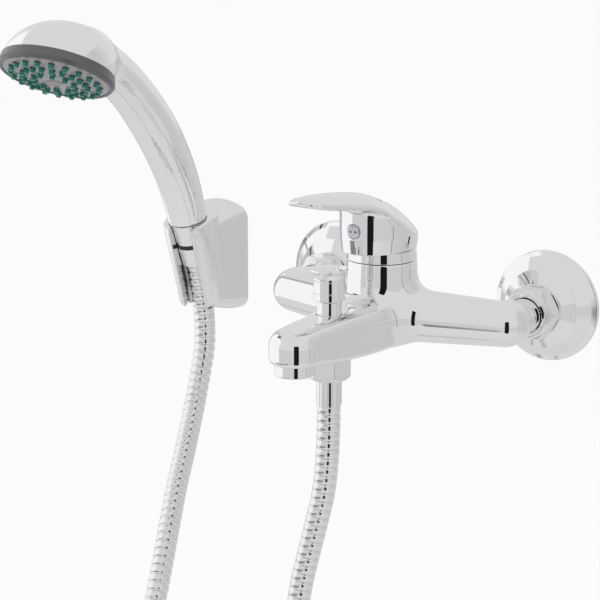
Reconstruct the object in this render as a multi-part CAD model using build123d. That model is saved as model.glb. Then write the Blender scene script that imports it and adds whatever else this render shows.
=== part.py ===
from build123d import *
from math import atan2, cos, degrees, hypot, pi, radians, sin, sqrt, tan
import os

os.makedirs("parts", exist_ok=True)

# A wall-mounted single-lever bath mixer with a diverter, a 1.5 m shower hose, a handset and its wall bracket.
# Millimetres, +Z up, the wall is the plane Y = 0 and the room lies on its -Y side.
# The pieces are drawn about the axis of the mixer's arms, at Z = 0. The eccentric unions hold that axis
# UNION_RISE above the threads in the wall, so keep() lifts every piece by it and the frame's origin
# ends up midway between the two wall threads, in the plane of the wall.

# Shared fits
THREAD_FIT = 0.06       # radial clearance of a thread in its bore
SLIDE_FIT = 0.05        # radial clearance of a piece that turns or slides in another
LOOSE_FIT = 0.3         # clearance between pieces of different bodies that don't guide each other

# Threads, by their outer radius
HALF_INCH = 10.4775
THREE_QUARTER_INCH = 13.2205

# Wall connections
INLET_SPACING = 150.0   # between the two threads in the wall
UNION_RISE = 8.0        # offset of each eccentric union
WALL_THREAD_LENGTH = 14.0
UNION_RUNOUT_RADIUS = 9.7   # the plain neck between the wall thread and the offset end
UNION_WEB_BACK = 1.5    # the union's two ends overlap between these distances from the wall
UNION_WEB_FRONT = 6.5
UNION_REACH = 23.5      # distance from the wall to the union's sealing face
UNION_WALL_BORE = 6.5
UNION_BODY_BORE = 8.5
FLANGE_RADIUS = 34.3
FLANGE_RIM = 2.8        # height of the flange's straight rim band
FLANGE_DEPTH = 16.2
FLANGE_WALL = 1.4
NUT_FLATS = 30.0        # across the flats of the union nut
NUT_BACK = 17.0         # distance of the nut's back face from the wall
NUT_HEX = 11.6          # length of its hexagon
NUT_LENGTH = 14.0
WASHER_THICK = 2.0
WASHER_BORE = 8.0
NIPPLE_COLLAR_RADIUS = 12.2
NIPPLE_COLLAR = 2.5
NIPPLE_RADIUS = 8.5
NIPPLE_LENGTH = 13.5
NIPPLE_KEY = 12.0       # across the flats of the nipple's hexagonal bore

# Mixer body
NECK_START = 28.1       # distance of the body's necks from the wall
NECK_END = 44.5         # where a neck widens to the elbow
NECK_RADIUS = 10.7
NECK_GAP = 0.4          # between a neck and the hole of its nut
ELBOW_Y = -55.0
ELBOW_RADIUS = 13.5
ARM_RADIUS = 16.8       # where an arm meets the column
COLUMN_Y = -73.5
COLUMN_TOP = 32.6
COLUMN_RADIUS = 21.2
COLUMN_BOTTOM = -16.0
SPOUT_TOP = 12.4
SPOUT_Y = -167.0        # axis of the aerator
NOSE_RADIUS = 14.8
NOSE_TOP = 11.2
NOSE_ROUNDING = 8.5
NOSE_BOTTOM = -8.5
DIVERTER_Y = -131.0
OUTLET_BOTTOM = -20.0   # end of the shower outlet's thread
OUTLET_FACE = -13.0     # the flat round the outlet's root
WATERWAY_RADIUS = 5.0

# Cartridge
SEAT_Z = 3.0            # floor of the cartridge chamber
CHAMBER_RADIUS = 17.8
CHAMBER_TOP = 22.0
NUT_BORE_RADIUS = 19.2
INLET_PORTS = (8.0, 5.5)    # place of the inlet ports about the column, mirrored in X
OUTLET_PORT_Y = -8.5
INLET_PORT_RADIUS = 3.2
OUTLET_PORT_RADIUS = 4.0
PORT_SEAL_THICK = 1.2
CARTRIDGE_RADIUS = 17.5
DISC_PLANE = 9.5        # where the two ceramic discs meet
FIXED_DISC_RADIUS = 14.0
FIXED_DISC_THICK = 3.0
MOVING_DISC_RADIUS = 11.0
MOVING_DISC_THICK = 2.5
CARRIER_TOP = 18.0
PIVOT_Z = 25.2          # the lever tilts about a pin at this height
LIFT_ARM = 10.0         # from the pin down to the ball that pushes the disc
LIFT_ANGLE = 22.0
ROTOR_RADIUS = 13.0
ROTOR_TOP = 29.0
STEM_SQUARE = 8.0
PIN_RADIUS = 1.5
STEM_TOP = 55.0
CARTRIDGE_NUT_FLATS = 33.0
CARTRIDGE_NUT_THREAD_TOP = 30.5
CARTRIDGE_NUT_TOP = 34.0

# Cover ring and lever
RING_BOTTOM = 32.7
RING_TOP = 39.4
RING_TOP_RADIUS = 20.5
RING_WALL = 1.3
RING_HOLE_RADIUS = 14.5
LEVER_BOTTOM = 39.9
LEVER_BOTTOM_RADIUS = 20.7
LEVER_SKIRT_TOP = 44.3  # the lever's underside slopes out from its bottom edge to this height
HUB_RADIUS = 22.0
HUB_NOSE = 32.0         # how far the hub's front reaches from the column's axis
CAP_HEIGHT = 40.0       # the hub's walls are drawn this high, then cut by the crowned cap
SOCKET_RADIUS = 7.5
SOCKET_BOTTOM = 47.0
SOCKET_DEPTH_TOP = 56.0
CORE_RADIUS = 14.0      # the cored ring round the socket
CORE_TOP = 57.0
SCREW_Z = 53.0
SCREW_RADIUS = 2.5
SCREW_LENGTH = 10.0
INDICATOR_Z = 56.0
INDICATOR_RADIUS = 4.25
INDICATOR_DEPTH = 2.2

# Diverter
LOWER_CHAMBER = (-9.0, -0.5)
LOWER_CHAMBER_RADIUS = 8.0
UPPER_CHAMBER = (1.0, 7.2)
UPPER_CHAMBER_RADIUS = 6.6
MIDDLE_SEAT_RADIUS = 5.5
BOTTOM_SEAT_RADIUS = 5.0
SPOUT_PASSAGE_RADIUS = 3.0
BONNET_RADIUS = 7.5
BONNET_TOP = 10.6
VALVE_RADIUS = 7.2
VALVE_DISC = 1.4
VALVE_SEAL = 0.8
SEAT_GAP = 0.1
STEM_RADIUS = 2.0
STEM_COLLAR = 1.5
KNOB_BOTTOM = 11.0
KNOB_NECK_RADIUS = 7.2
KNOB_RADIUS = 9.2
KNOB_RIM_RADIUS = 11.2
KNOB_SHOULDER = 20.5
KNOB_TOP = 39.6
KNOB_CROWN = 1.2
KNOB_GROOVES = (25.7, 32.7)
SPRING_WIRE = 0.8
SPRING_MEAN_RADIUS = 3.1
SPRING_TURNS = 6

# Aerator
AERATOR_THREAD = 11.0
AERATOR_SKIRT_RADIUS = 11.4
AERATOR_SKIRT = 7.0
AERATOR_THREAD_LENGTH = 7.0
AERATOR_BORE = 9.6
AERATOR_SEAL_THICK = 1.5
AERATOR_CAVITY_RADIUS = 9.0

# Shower hose
HOSE_RADIUS = 7.0
HOSE_GROOVE_RADIUS = 6.25
HOSE_BORE_RADIUS = 4.0
RIB_PITCH = 5.4
RIB_GROOVE = 1.3        # length of the groove between two ribs, at its foot
RIB_SLOPE = 0.5
HOSE_NUT_FLATS = 23.0
HOSE_NUT_TOP = -13.3
HOSE_NUT_BOTTOM = -26.5
HOSE_NUT_TURN = 18.0    # its corners are turned this far from the X axis
FERRULE_RADIUS = 7.65
FERRULE_BOTTOM = -42.3
COIL_RADIUS = 82.0
COIL_PITCH = 14.6
COIL_TURNS = 1.5
COIL_CENTRE = (-76.0, -355.0)   # X and Z of the coil's axis, which runs along Y
COIL_START_Y = -147.0
TIE_WALL = 1.2
TIE_WIDTH = 6.0

# Wall bracket and the cradle that holds the handset
BRACKET_X = -171.0
BRACKET_HALF_WIDTH = 21.0
BRACKET_HALF_HEIGHT = 38.0
BRACKET_DEPTH = 36.0
BRACKET_WALL = 3.0
CRADLE_RIM = (BRACKET_X, -38.5, 30.0)
CRADLE_LEAN = 16.5      # degrees from the vertical
CRADLE_LENGTH = 58.0
CRADLE_TOP_RADIUS = 16.4
CRADLE_BOTTOM_RADIUS = 16.0
CRADLE_SLOT = 14.8
CRADLE_SLOT_TURN = 12.0     # the slot faces this far round from straight ahead
SCREW_SPACING = 40.0
BRACKET_SCREW_RADIUS = 2.2
BRACKET_SCREW_HEAD = 4.2
BRACKET_SHANK_RADIUS = 1.8  # of the screw's plain shank in the bracket
BRACKET_SCREW_REACH = 25.0  # length of the screw's thread in the wall

# Cone nut and the handset's end, as distances along the cradle's axis from its rim
CONE_TOP = 0.6
CONE_LENGTH = 31.0
CONE_TOP_RADIUS = 12.3
CONE_BOTTOM_RADIUS = 9.2
BAND_CENTRE = -15.5
BAND_WIDTH = 3.0
SPIGOT_LENGTH = 8.0
SPIGOT_BORE = 5.0
HANDLE_START = 1.0

# Handset, in its own plane: forward of the cradle's axis and up along it
HANDSET_TURN = 6.5      # the handset is turned this far towards +X
HANDLE_POINTS = (       # forward, up and diameter of the handle's sections
    (0.0, 1.0, 25.4),
    (0.2, 15.0, 26.2),
    (1.4, 28.0, 27.0),
    (4.5, 43.0, 27.6),
    (9.0, 58.0, 28.2),
    (15.0, 73.5, 28.5),
    (22.6, 89.5, 28.3),
    (31.6, 105.0, 27.6),
    (42.5, 120.5, 27.6),
    (56.0, 135.0, 28.0),
    (71.0, 147.5, 28.5),
)
HANDLE_WALL = 2.6
FACE_CENTRE = (105.0, 148.6)
FACE_TILT = 45.5        # from the cradle's axis, pointing down, towards the front
FACE_RADIUS = 32.0      # of the spray plate
FACE_BULGE = 3.4
TRIM_RADIUS = 35.2
TRIM_HEIGHT = 5.3
HEAD_RADIUS = 35.0
HEAD_DOME = 33.0        # from the plane of the face to the top of the head
NOZZLE_ROWS = 18
NOZZLE_RINGS = (12.5, 19.5, 26.5)
NOZZLE_RADIUS = 1.15
NOZZLE_HEIGHT = 1.5

UPRIGHT = (Align.CENTER, Align.CENTER, Align.MIN)


def rod(radius, bottom, top, x=0.0, y=0.0):
    """An upright round bar between two heights."""
    return Pos(x, y, bottom) * Cylinder(radius, top - bottom, align=UPRIGHT)


def bar(radius, start, end):
    """A round bar from one point to another."""
    axis = Vector(*end) - Vector(*start)
    return Plane(origin=start, z_dir=axis) * Cylinder(radius, axis.length, align=UPRIGHT)


def hexagon(flats, bottom, top):
    """An upright hexagonal bar on the Z axis, with corners towards +X and -X."""
    return Pos(0, 0, bottom) * extrude(RegularPolygon(flats / 2, 6, major_radius=False), top - bottom)


def outline_face(outline):
    """A face in the XZ plane. A (radius, height) point ends a line, a pair of points an arc through the first."""
    edges = []
    at = outline[0]
    for step in list(outline[1:]) + [outline[0]]:
        if isinstance(step[0], tuple):
            middle, end = step
            edges.append(ThreePointArc((at[0], 0, at[1]), (middle[0], 0, middle[1]), (end[0], 0, end[1])))
        else:
            end = step
            edges.append(Line((at[0], 0, at[1]), (end[0], 0, end[1])))
        at = end
    return make_face(edges)


def crown(radius, edge, top):
    """The arc of a round cap centred on the axis, from (radius, edge) to (0, top), as a (middle, end) pair."""
    rise = top - edge
    ball = (radius ** 2 + rise ** 2) / (2 * rise)
    middle = top - ball + sqrt(ball ** 2 - radius ** 2 / 4) * (1 if rise > 0 else -1)
    return ((radius / 2, middle), (0, top))


def turned(outline):
    """A solid of revolution about the Z axis."""
    return revolve(outline_face(outline), Axis.Z, 360)


def ring(inner, outer, bottom, top):
    """A plain ring on the Z axis."""
    return turned([(inner, bottom), (outer, bottom), (outer, top), (inner, top)])


def outward(x, y=0.0, z=0.0):
    """The place of a piece whose own axis points from the wall into the room."""
    return Pos(x, y, z) * Rot(90, 0, 0)


def keep(name, *solids):
    """Lift a piece to its place above the wall threads and write it."""
    lifted = [Pos(0, 0, UNION_RISE) * solid for solid in solids]
    export_step(lifted[0] if len(lifted) == 1 else Compound(lifted), f"parts/{name}.step")


# Wall connections, one set for hot and one for cold
def s_union(x):
    """The eccentric union between the thread in the wall and the mixer's nut."""
    wall_z = -UNION_RISE
    solid = bar(HALF_INCH, (x, WALL_THREAD_LENGTH, wall_z), (x, 0, wall_z))
    solid += bar(UNION_RUNOUT_RADIUS, (x, 1, wall_z), (x, -UNION_WEB_FRONT, wall_z))
    solid += bar(THREE_QUARTER_INCH, (x, -UNION_WEB_BACK, 0), (x, -UNION_REACH, 0))
    solid -= bar(UNION_WALL_BORE, (x, WALL_THREAD_LENGTH, wall_z), (x, -UNION_WEB_FRONT + 1.5, wall_z))
    solid -= bar(UNION_BODY_BORE, (x, -UNION_WEB_BACK - 1.5, 0), (x, -UNION_REACH, 0))
    return solid


def wall_flange(x):
    """The domed cover flange, screwed along the union until its rim meets the wall."""
    hole = THREE_QUARTER_INCH + THREAD_FIT
    rim = FLANGE_RADIUS
    wall = FLANGE_WALL
    outline = [
        (rim - wall, 0),
        (rim, 0),
        (rim, FLANGE_RIM),
        ((rim * 0.72, FLANGE_DEPTH * 0.78), (hole + 2.5, FLANGE_DEPTH)),
        (hole, FLANGE_DEPTH),
        (hole, FLANGE_DEPTH - wall),
        (hole + 2.5, FLANGE_DEPTH - wall),
        ((rim * 0.72 - 0.4, FLANGE_DEPTH * 0.78 - wall), (rim - wall, FLANGE_RIM - 0.4)),
    ]
    return outward(x) * turned(outline)


def union_nut(x):
    """The captive nut that pulls the mixer onto the union."""
    corner = NUT_FLATS / 2 / cos(radians(30))
    shape = [
        (0, 0),
        (NUT_FLATS / 2 + 0.4, 0),
        (corner + 0.1, 1.3),
        (corner + 0.1, NUT_HEX - 1.5),
        (NUT_FLATS / 2 - 0.2, NUT_HEX),
        ((NUT_FLATS / 2 - 0.8, NUT_LENGTH - 0.9), (NUT_FLATS / 2 - 2.2, NUT_LENGTH)),
        (0, NUT_LENGTH),
    ]
    solid = hexagon(NUT_FLATS, 0, NUT_LENGTH) & turned(shape)
    shoulder = UNION_REACH + WASHER_THICK + NIPPLE_COLLAR - NUT_BACK
    solid -= rod(THREE_QUARTER_INCH + THREAD_FIT, 0, shoulder)
    solid -= rod(NECK_RADIUS + NECK_GAP, shoulder, NUT_LENGTH)
    return outward(x, -NUT_BACK) * solid


def union_washer(x):
    """The flat washer between the union and the nipple's collar."""
    return outward(x, -UNION_REACH) * ring(WASHER_BORE, THREE_QUARTER_INCH - 0.4, 0, WASHER_THICK)


def inlet_nipple(x):
    """The nipple screwed into the body's neck, whose collar holds the nut."""
    solid = rod(NIPPLE_COLLAR_RADIUS, 0, NIPPLE_COLLAR) + rod(NIPPLE_RADIUS, 0, NIPPLE_LENGTH)
    solid -= hexagon(NIPPLE_KEY, 0, NIPPLE_LENGTH)
    return outward(x, -UNION_REACH - WASHER_THICK) * solid


for side, x in (("hot", -INLET_SPACING / 2), ("cold", INLET_SPACING / 2)):
    keep(f"s_union_{side}", s_union(x))
    keep(f"wall_flange_{side}", wall_flange(x))
    keep(f"union_nut_{side}", union_nut(x))
    keep(f"inlet_nipple_{side}", inlet_nipple(x))
keep("union_washers", union_washer(-INLET_SPACING / 2), union_washer(INLET_SPACING / 2))


# Mixer body
def spout_section(y, half_width, bottom, top, corner):
    """A rounded section across the spout."""
    plane = Plane(origin=(0, y, (bottom + top) / 2), x_dir=(1, 0, 0), z_dir=(0, -1, 0))
    return plane * RectangleRounded(2 * half_width, top - bottom, corner)


def body_shape():
    """The casting's outside: column, arms, necks, spout and shower outlet, without its bores."""
    column = turned([
        (0, COLUMN_BOTTOM),
        (13.0, COLUMN_BOTTOM),
        ((20.5, COLUMN_BOTTOM + 4.5), (24.0, 0.0)),
        ((22.0, 16.0), (COLUMN_RADIUS, COLUMN_TOP)),
        (0, COLUMN_TOP),
    ])
    solid = Pos(0, COLUMN_Y, 0) * column
    for x in (-INLET_SPACING / 2, INLET_SPACING / 2):
        axis = Vector(-x, COLUMN_Y + 2.5 - ELBOW_Y, 0)
        arm = Cone(ELBOW_RADIUS, ARM_RADIUS, axis.length, align=UPRIGHT)
        solid += Plane(origin=(x, ELBOW_Y, 0), z_dir=axis) * arm
        solid += outward(x, ELBOW_Y) * Sphere(ELBOW_RADIUS)
        solid += outward(x) * turned([
            (0, NECK_START),
            (NECK_RADIUS, NECK_START),
            (NECK_RADIUS, NECK_END),
            ((ELBOW_RADIUS - 0.8, NECK_END + 0.7), (ELBOW_RADIUS - 0.1, NECK_END + 2.8)),
            (ELBOW_RADIUS, -ELBOW_Y),
            (0, -ELBOW_Y),
        ])
    solid += loft([
        spout_section(COLUMN_Y, 20.0, COLUMN_BOTTOM + 0.6, SPOUT_TOP + 1.0, 9.0),
        spout_section(-105.0, 18.9, -14.8, SPOUT_TOP + 0.2, 9.0),
        spout_section(DIVERTER_Y, 17.5, -13.0, SPOUT_TOP, 8.5),
        spout_section(-150.0, 16.2, -10.8, NOSE_TOP + 0.8, NOSE_ROUNDING),
        spout_section(SPOUT_Y, NOSE_RADIUS, NOSE_BOTTOM, NOSE_TOP, NOSE_ROUNDING),
    ])
    rounding = NOSE_ROUNDING
    corner = rounding * (1 - cos(radians(45)))
    solid += Pos(0, SPOUT_Y, 0) * turned([
        (0, NOSE_BOTTOM),
        (NOSE_RADIUS - 1.5, NOSE_BOTTOM),
        ((NOSE_RADIUS - 0.4, NOSE_BOTTOM + 0.6), (NOSE_RADIUS, NOSE_BOTTOM + 2.0)),
        (NOSE_RADIUS, NOSE_TOP - rounding),
        ((NOSE_RADIUS - corner, NOSE_TOP - corner), (NOSE_RADIUS - rounding, NOSE_TOP)),
        (0, NOSE_TOP),
    ])
    flat_radius = HOSE_NUT_FLATS / 2 / cos(radians(30)) + 0.6
    solid -= rod(flat_radius, OUTLET_BOTTOM, OUTLET_FACE, 0, DIVERTER_Y)
    solid -= rod(AERATOR_SKIRT_RADIUS + LOOSE_FIT, OUTLET_BOTTOM, NOSE_BOTTOM, 0, SPOUT_Y)
    return solid + rod(HALF_INCH, OUTLET_BOTTOM, 0, 0, DIVERTER_Y)


def body_bores():
    """Everything that is cut from the casting: inlets, cartridge chamber, diverter, outlets and waterways."""
    port_x, port_y = INLET_PORTS
    passage_z = (LOWER_CHAMBER[0] + LOWER_CHAMBER[1]) / 2
    passage_radius = (LOWER_CHAMBER[1] - LOWER_CHAMBER[0]) / 2 - 0.6
    bores = []
    for sign in (-1, 1):
        x = sign * INLET_SPACING / 2
        nipple_end = -UNION_REACH - WASHER_THICK - NIPPLE_LENGTH
        port = (sign * port_x, COLUMN_Y + port_y)
        bores.append(bar(NIPPLE_RADIUS + THREAD_FIT, (x, -NECK_START, 0), (x, nipple_end - 0.5, 0)))
        bend = WATERWAY_RADIUS + 1.5
        bores.append(bar(bend, (x, -NECK_START, 0), (x, ELBOW_Y - bend + 1.0, 0)))
        bores.append(bar(WATERWAY_RADIUS, (x, ELBOW_Y, 0), (*port, passage_z)))
        bores.append(rod(INLET_PORT_RADIUS, passage_z, SEAT_Z, *port))
        bores.append(rod(1.6, SEAT_Z - 2.6, SEAT_Z, sign * 12.5, COLUMN_Y - 6.0))
    mixed_y = COLUMN_Y + OUTLET_PORT_Y
    bores.append(rod(CHAMBER_RADIUS, SEAT_Z, CHAMBER_TOP, 0, COLUMN_Y))
    bores.append(rod(NUT_BORE_RADIUS, CHAMBER_TOP, COLUMN_TOP, 0, COLUMN_Y))
    bores.append(rod(OUTLET_PORT_RADIUS, passage_z, SEAT_Z, 0, mixed_y))
    bores.append(bar(passage_radius, (0, mixed_y, passage_z), (0, DIVERTER_Y, passage_z)))
    bores.append(rod(LOWER_CHAMBER_RADIUS, *LOWER_CHAMBER, 0, DIVERTER_Y))
    bores.append(rod(MIDDLE_SEAT_RADIUS, LOWER_CHAMBER[1], UPPER_CHAMBER[0], 0, DIVERTER_Y))
    bores.append(rod(UPPER_CHAMBER_RADIUS, *UPPER_CHAMBER, 0, DIVERTER_Y))
    bores.append(rod(BONNET_RADIUS + THREAD_FIT, UPPER_CHAMBER[1], SPOUT_TOP + 1, 0, DIVERTER_Y))
    bores.append(rod(BOTTOM_SEAT_RADIUS, OUTLET_BOTTOM, LOWER_CHAMBER[0], 0, DIVERTER_Y))
    bores.append(rod(BOTTOM_SEAT_RADIUS + 1.0, OUTLET_BOTTOM, LOWER_CHAMBER[0] - 3.0, 0, DIVERTER_Y))
    spout_z = (UPPER_CHAMBER[0] + UPPER_CHAMBER[1]) / 2
    bores.append(bar(SPOUT_PASSAGE_RADIUS, (0, DIVERTER_Y, spout_z), (0, SPOUT_Y, spout_z)))
    seal_top = NOSE_BOTTOM + AERATOR_THREAD_LENGTH + AERATOR_SEAL_THICK
    bores.append(rod(AERATOR_THREAD + THREAD_FIT, NOSE_BOTTOM, seal_top, 0, SPOUT_Y))
    bores.append(rod(AERATOR_CAVITY_RADIUS, seal_top, spout_z + SPOUT_PASSAGE_RADIUS + 0.6, 0, SPOUT_Y))
    return bores


keep("mixer_body", body_shape() - body_bores())


# Cartridge, about the column's own axis
def at_column(solid):
    """Place a piece that was drawn on the Z axis on the column's axis."""
    return Pos(0, COLUMN_Y, 0) * solid


def port_places():
    """The inlet ports and the outlet port, as (x, y, radius) about the column."""
    port_x, port_y = INLET_PORTS
    return [
        (-port_x, port_y, INLET_PORT_RADIUS),
        (port_x, port_y, INLET_PORT_RADIUS),
        (0, OUTLET_PORT_Y, OUTLET_PORT_RADIUS),
    ]


BASE_BOTTOM = SEAT_Z + 0.2
FIXED_DISC_BOTTOM = DISC_PLANE - FIXED_DISC_THICK
MOVING_DISC_BOTTOM = DISC_PLANE + SLIDE_FIT
MOVING_DISC_TOP = MOVING_DISC_BOTTOM + MOVING_DISC_THICK
HOUSING_BORE = 15.6
HOUSING_SHOULDER = CARRIER_TOP + 2.6
HOUSING_TOP = 26.0
HOUSING_NECK_RADIUS = 15.4
DISC_SHIFT = radians(LIFT_ANGLE) * LIFT_ARM     # travel of the moving disc
BALL_Z = PIVOT_Z - LIFT_ARM
BALL_RADIUS = 2.8


def cartridge_base():
    """The base with the three ports, the seats of their seals, the pocket of the fixed disc and two dowels."""
    solid = ring(0.0, CARTRIDGE_RADIUS - 0.2, BASE_BOTTOM, DISC_PLANE - 0.5)
    solid -= rod(FIXED_DISC_RADIUS + SLIDE_FIT, FIXED_DISC_BOTTOM, DISC_PLANE)
    for x, y, radius in port_places():
        solid -= rod(radius, BASE_BOTTOM, DISC_PLANE, x, y)
        solid -= rod(radius + 1.7, BASE_BOTTOM, SEAT_Z + PORT_SEAL_THICK, x, y)
    for x in (-12.5, 12.5):
        solid += rod(1.5, SEAT_Z - 2.4, BASE_BOTTOM + 0.5, x, -6.0)
    return solid


def port_seals():
    """One ring under each port of the base."""
    rings = []
    for x, y, radius in port_places():
        rings.append(at_column(Pos(x, y, 0) * ring(radius + 0.2, radius + 1.6, SEAT_Z, SEAT_Z + PORT_SEAL_THICK)))
    return rings


def fixed_disc():
    """The lower ceramic disc, with its three ports."""
    solid = rod(FIXED_DISC_RADIUS, FIXED_DISC_BOTTOM, DISC_PLANE)
    for x, y, radius in port_places():
        solid -= rod(radius, FIXED_DISC_BOTTOM, DISC_PLANE, x, y)
    return solid


def moving_disc():
    """The upper ceramic disc. The channel in its lower face joins the ports once it has slid forward."""
    solid = rod(MOVING_DISC_RADIUS, MOVING_DISC_BOTTOM, MOVING_DISC_TOP, 0, DISC_SHIFT / 2)
    channel = Pos(0, DISC_SHIFT / 2 - 1.0, MOVING_DISC_BOTTOM) * Box(13.0, 9.0, 1.4, align=UPRIGHT)
    return solid - channel


def disc_carrier():
    """The carrier on the moving disc, with the pocket in which the stem's ball pushes."""
    solid = rod(MOVING_DISC_RADIUS, MOVING_DISC_TOP, CARRIER_TOP, 0, DISC_SHIFT / 2)
    solid -= rod(BALL_RADIUS + LOOSE_FIT, MOVING_DISC_TOP, CARRIER_TOP)
    solid -= rod(BALL_RADIUS + LOOSE_FIT + 1.1, CARRIER_TOP - 1.5, CARRIER_TOP)
    return solid


def cartridge_housing():
    """The housing over the discs, whose neck guides the rotor."""
    guide = ROTOR_RADIUS + SLIDE_FIT
    return turned([
        (HOUSING_BORE, DISC_PLANE - 0.5),
        (CARTRIDGE_RADIUS, DISC_PLANE - 0.5),
        (CARTRIDGE_RADIUS, CHAMBER_TOP),
        (HOUSING_NECK_RADIUS, CHAMBER_TOP),
        (HOUSING_NECK_RADIUS, HOUSING_TOP),
        (guide, HOUSING_TOP),
        (guide, HOUSING_SHOULDER),
        (HOUSING_BORE, HOUSING_SHOULDER),
    ])


def cartridge_rotor():
    """The rotor that turns with the lever: it carries the pin on which the stem tilts."""
    bottom = CARRIER_TOP + 0.4
    solid = rod(HOUSING_BORE - 0.4, bottom, HOUSING_SHOULDER - 0.1) + rod(ROTOR_RADIUS, bottom, ROTOR_TOP)
    slot = Pos(0, 0, bottom) * Box(STEM_SQUARE + 0.3, 17.0, ROTOR_TOP - bottom, align=UPRIGHT)
    return solid - slot - bar(PIN_RADIUS, (-ROTOR_RADIUS, 0, PIVOT_Z), (ROTOR_RADIUS, 0, PIVOT_Z))


def stem_pin():
    """The pin through rotor and stem."""
    reach = ROTOR_RADIUS - 1.0
    return bar(PIN_RADIUS, (-reach, 0, PIVOT_Z), (reach, 0, PIVOT_Z))


def cartridge_stem():
    """The stem: a square top for the lever, the hole for the pin, and the ball in the carrier's pocket."""
    square = Pos(0, 0, PIVOT_Z - 5.0) * Box(
        STEM_SQUARE, STEM_SQUARE, STEM_TOP - PIVOT_Z + 5.0, align=UPRIGHT)
    solid = square + rod(2.0, BALL_Z, PIVOT_Z) + Pos(0, 0, BALL_Z) * Sphere(BALL_RADIUS)
    return solid - bar(PIN_RADIUS + SLIDE_FIT, (-STEM_SQUARE, 0, PIVOT_Z), (STEM_SQUARE, 0, PIVOT_Z))


def cartridge_nut():
    """The nut that clamps the cartridge, with a hexagon above its thread."""
    solid = rod(NUT_BORE_RADIUS - THREAD_FIT, CHAMBER_TOP, CARTRIDGE_NUT_THREAD_TOP)
    solid += hexagon(CARTRIDGE_NUT_FLATS, CARTRIDGE_NUT_THREAD_TOP, CARTRIDGE_NUT_TOP)
    return solid - rod(HOUSING_NECK_RADIUS + 0.2, CHAMBER_TOP, CARTRIDGE_NUT_TOP)


keep("cartridge_base", at_column(cartridge_base()))
keep("cartridge_seals", *port_seals())
keep("fixed_disc", at_column(fixed_disc()))
keep("moving_disc", at_column(moving_disc()))
keep("disc_carrier", at_column(disc_carrier()))
keep("cartridge_housing", at_column(cartridge_housing()))
keep("cartridge_rotor", at_column(cartridge_rotor()))
keep("stem_pin", at_column(stem_pin()))
keep("cartridge_stem", at_column(cartridge_stem()))
keep("cartridge_nut", at_column(cartridge_nut()))


# Cover ring and lever
def cover_ring():
    """The chrome ring that hides the nut, seated on the rim of the body."""
    inner = COLUMN_RADIUS - RING_WALL
    outline = [
        (inner, RING_BOTTOM),
        (COLUMN_RADIUS, RING_BOTTOM),
        (RING_TOP_RADIUS, RING_TOP - 1.0),
        (RING_TOP_RADIUS - 1.0, RING_TOP),
        (RING_HOLE_RADIUS, RING_TOP),
        (RING_HOLE_RADIUS, RING_TOP - RING_WALL),
        (RING_TOP_RADIUS - RING_WALL - 0.6, RING_TOP - RING_WALL),
        (inner, RING_TOP - RING_WALL - 1.0),
    ]
    return turned(outline)


def hub_outline(z, scale):
    """The hub's plan at a height, as a face: half a circle behind and half an ellipse in front."""
    width = HUB_RADIUS * scale
    nose = HUB_NOSE - HUB_RADIUS + width
    back = ThreePointArc((width, 0, z), (0, width, z), (-width, 0, z))
    front = Plane(origin=(0, 0, z)) * EllipticalCenterArc((0, 0), width, nose, 180, arc_size=180)
    return make_face([back, front])


def blade_section(y, half_width, bottom, edge, top):
    """A section across the lever's cap or blade: flat below, with low sides and a crowned top."""
    corners = [(half_width, edge), (half_width, bottom), (-half_width, bottom), (-half_width, edge)]
    spots = [Vector(x, y, z) for x, z in corners]
    lines = [Line(spots[i], spots[i + 1]) for i in range(3)]
    crown = ThreePointArc(spots[3], (0, y, top), spots[0])
    return make_face(lines + [crown])


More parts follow.
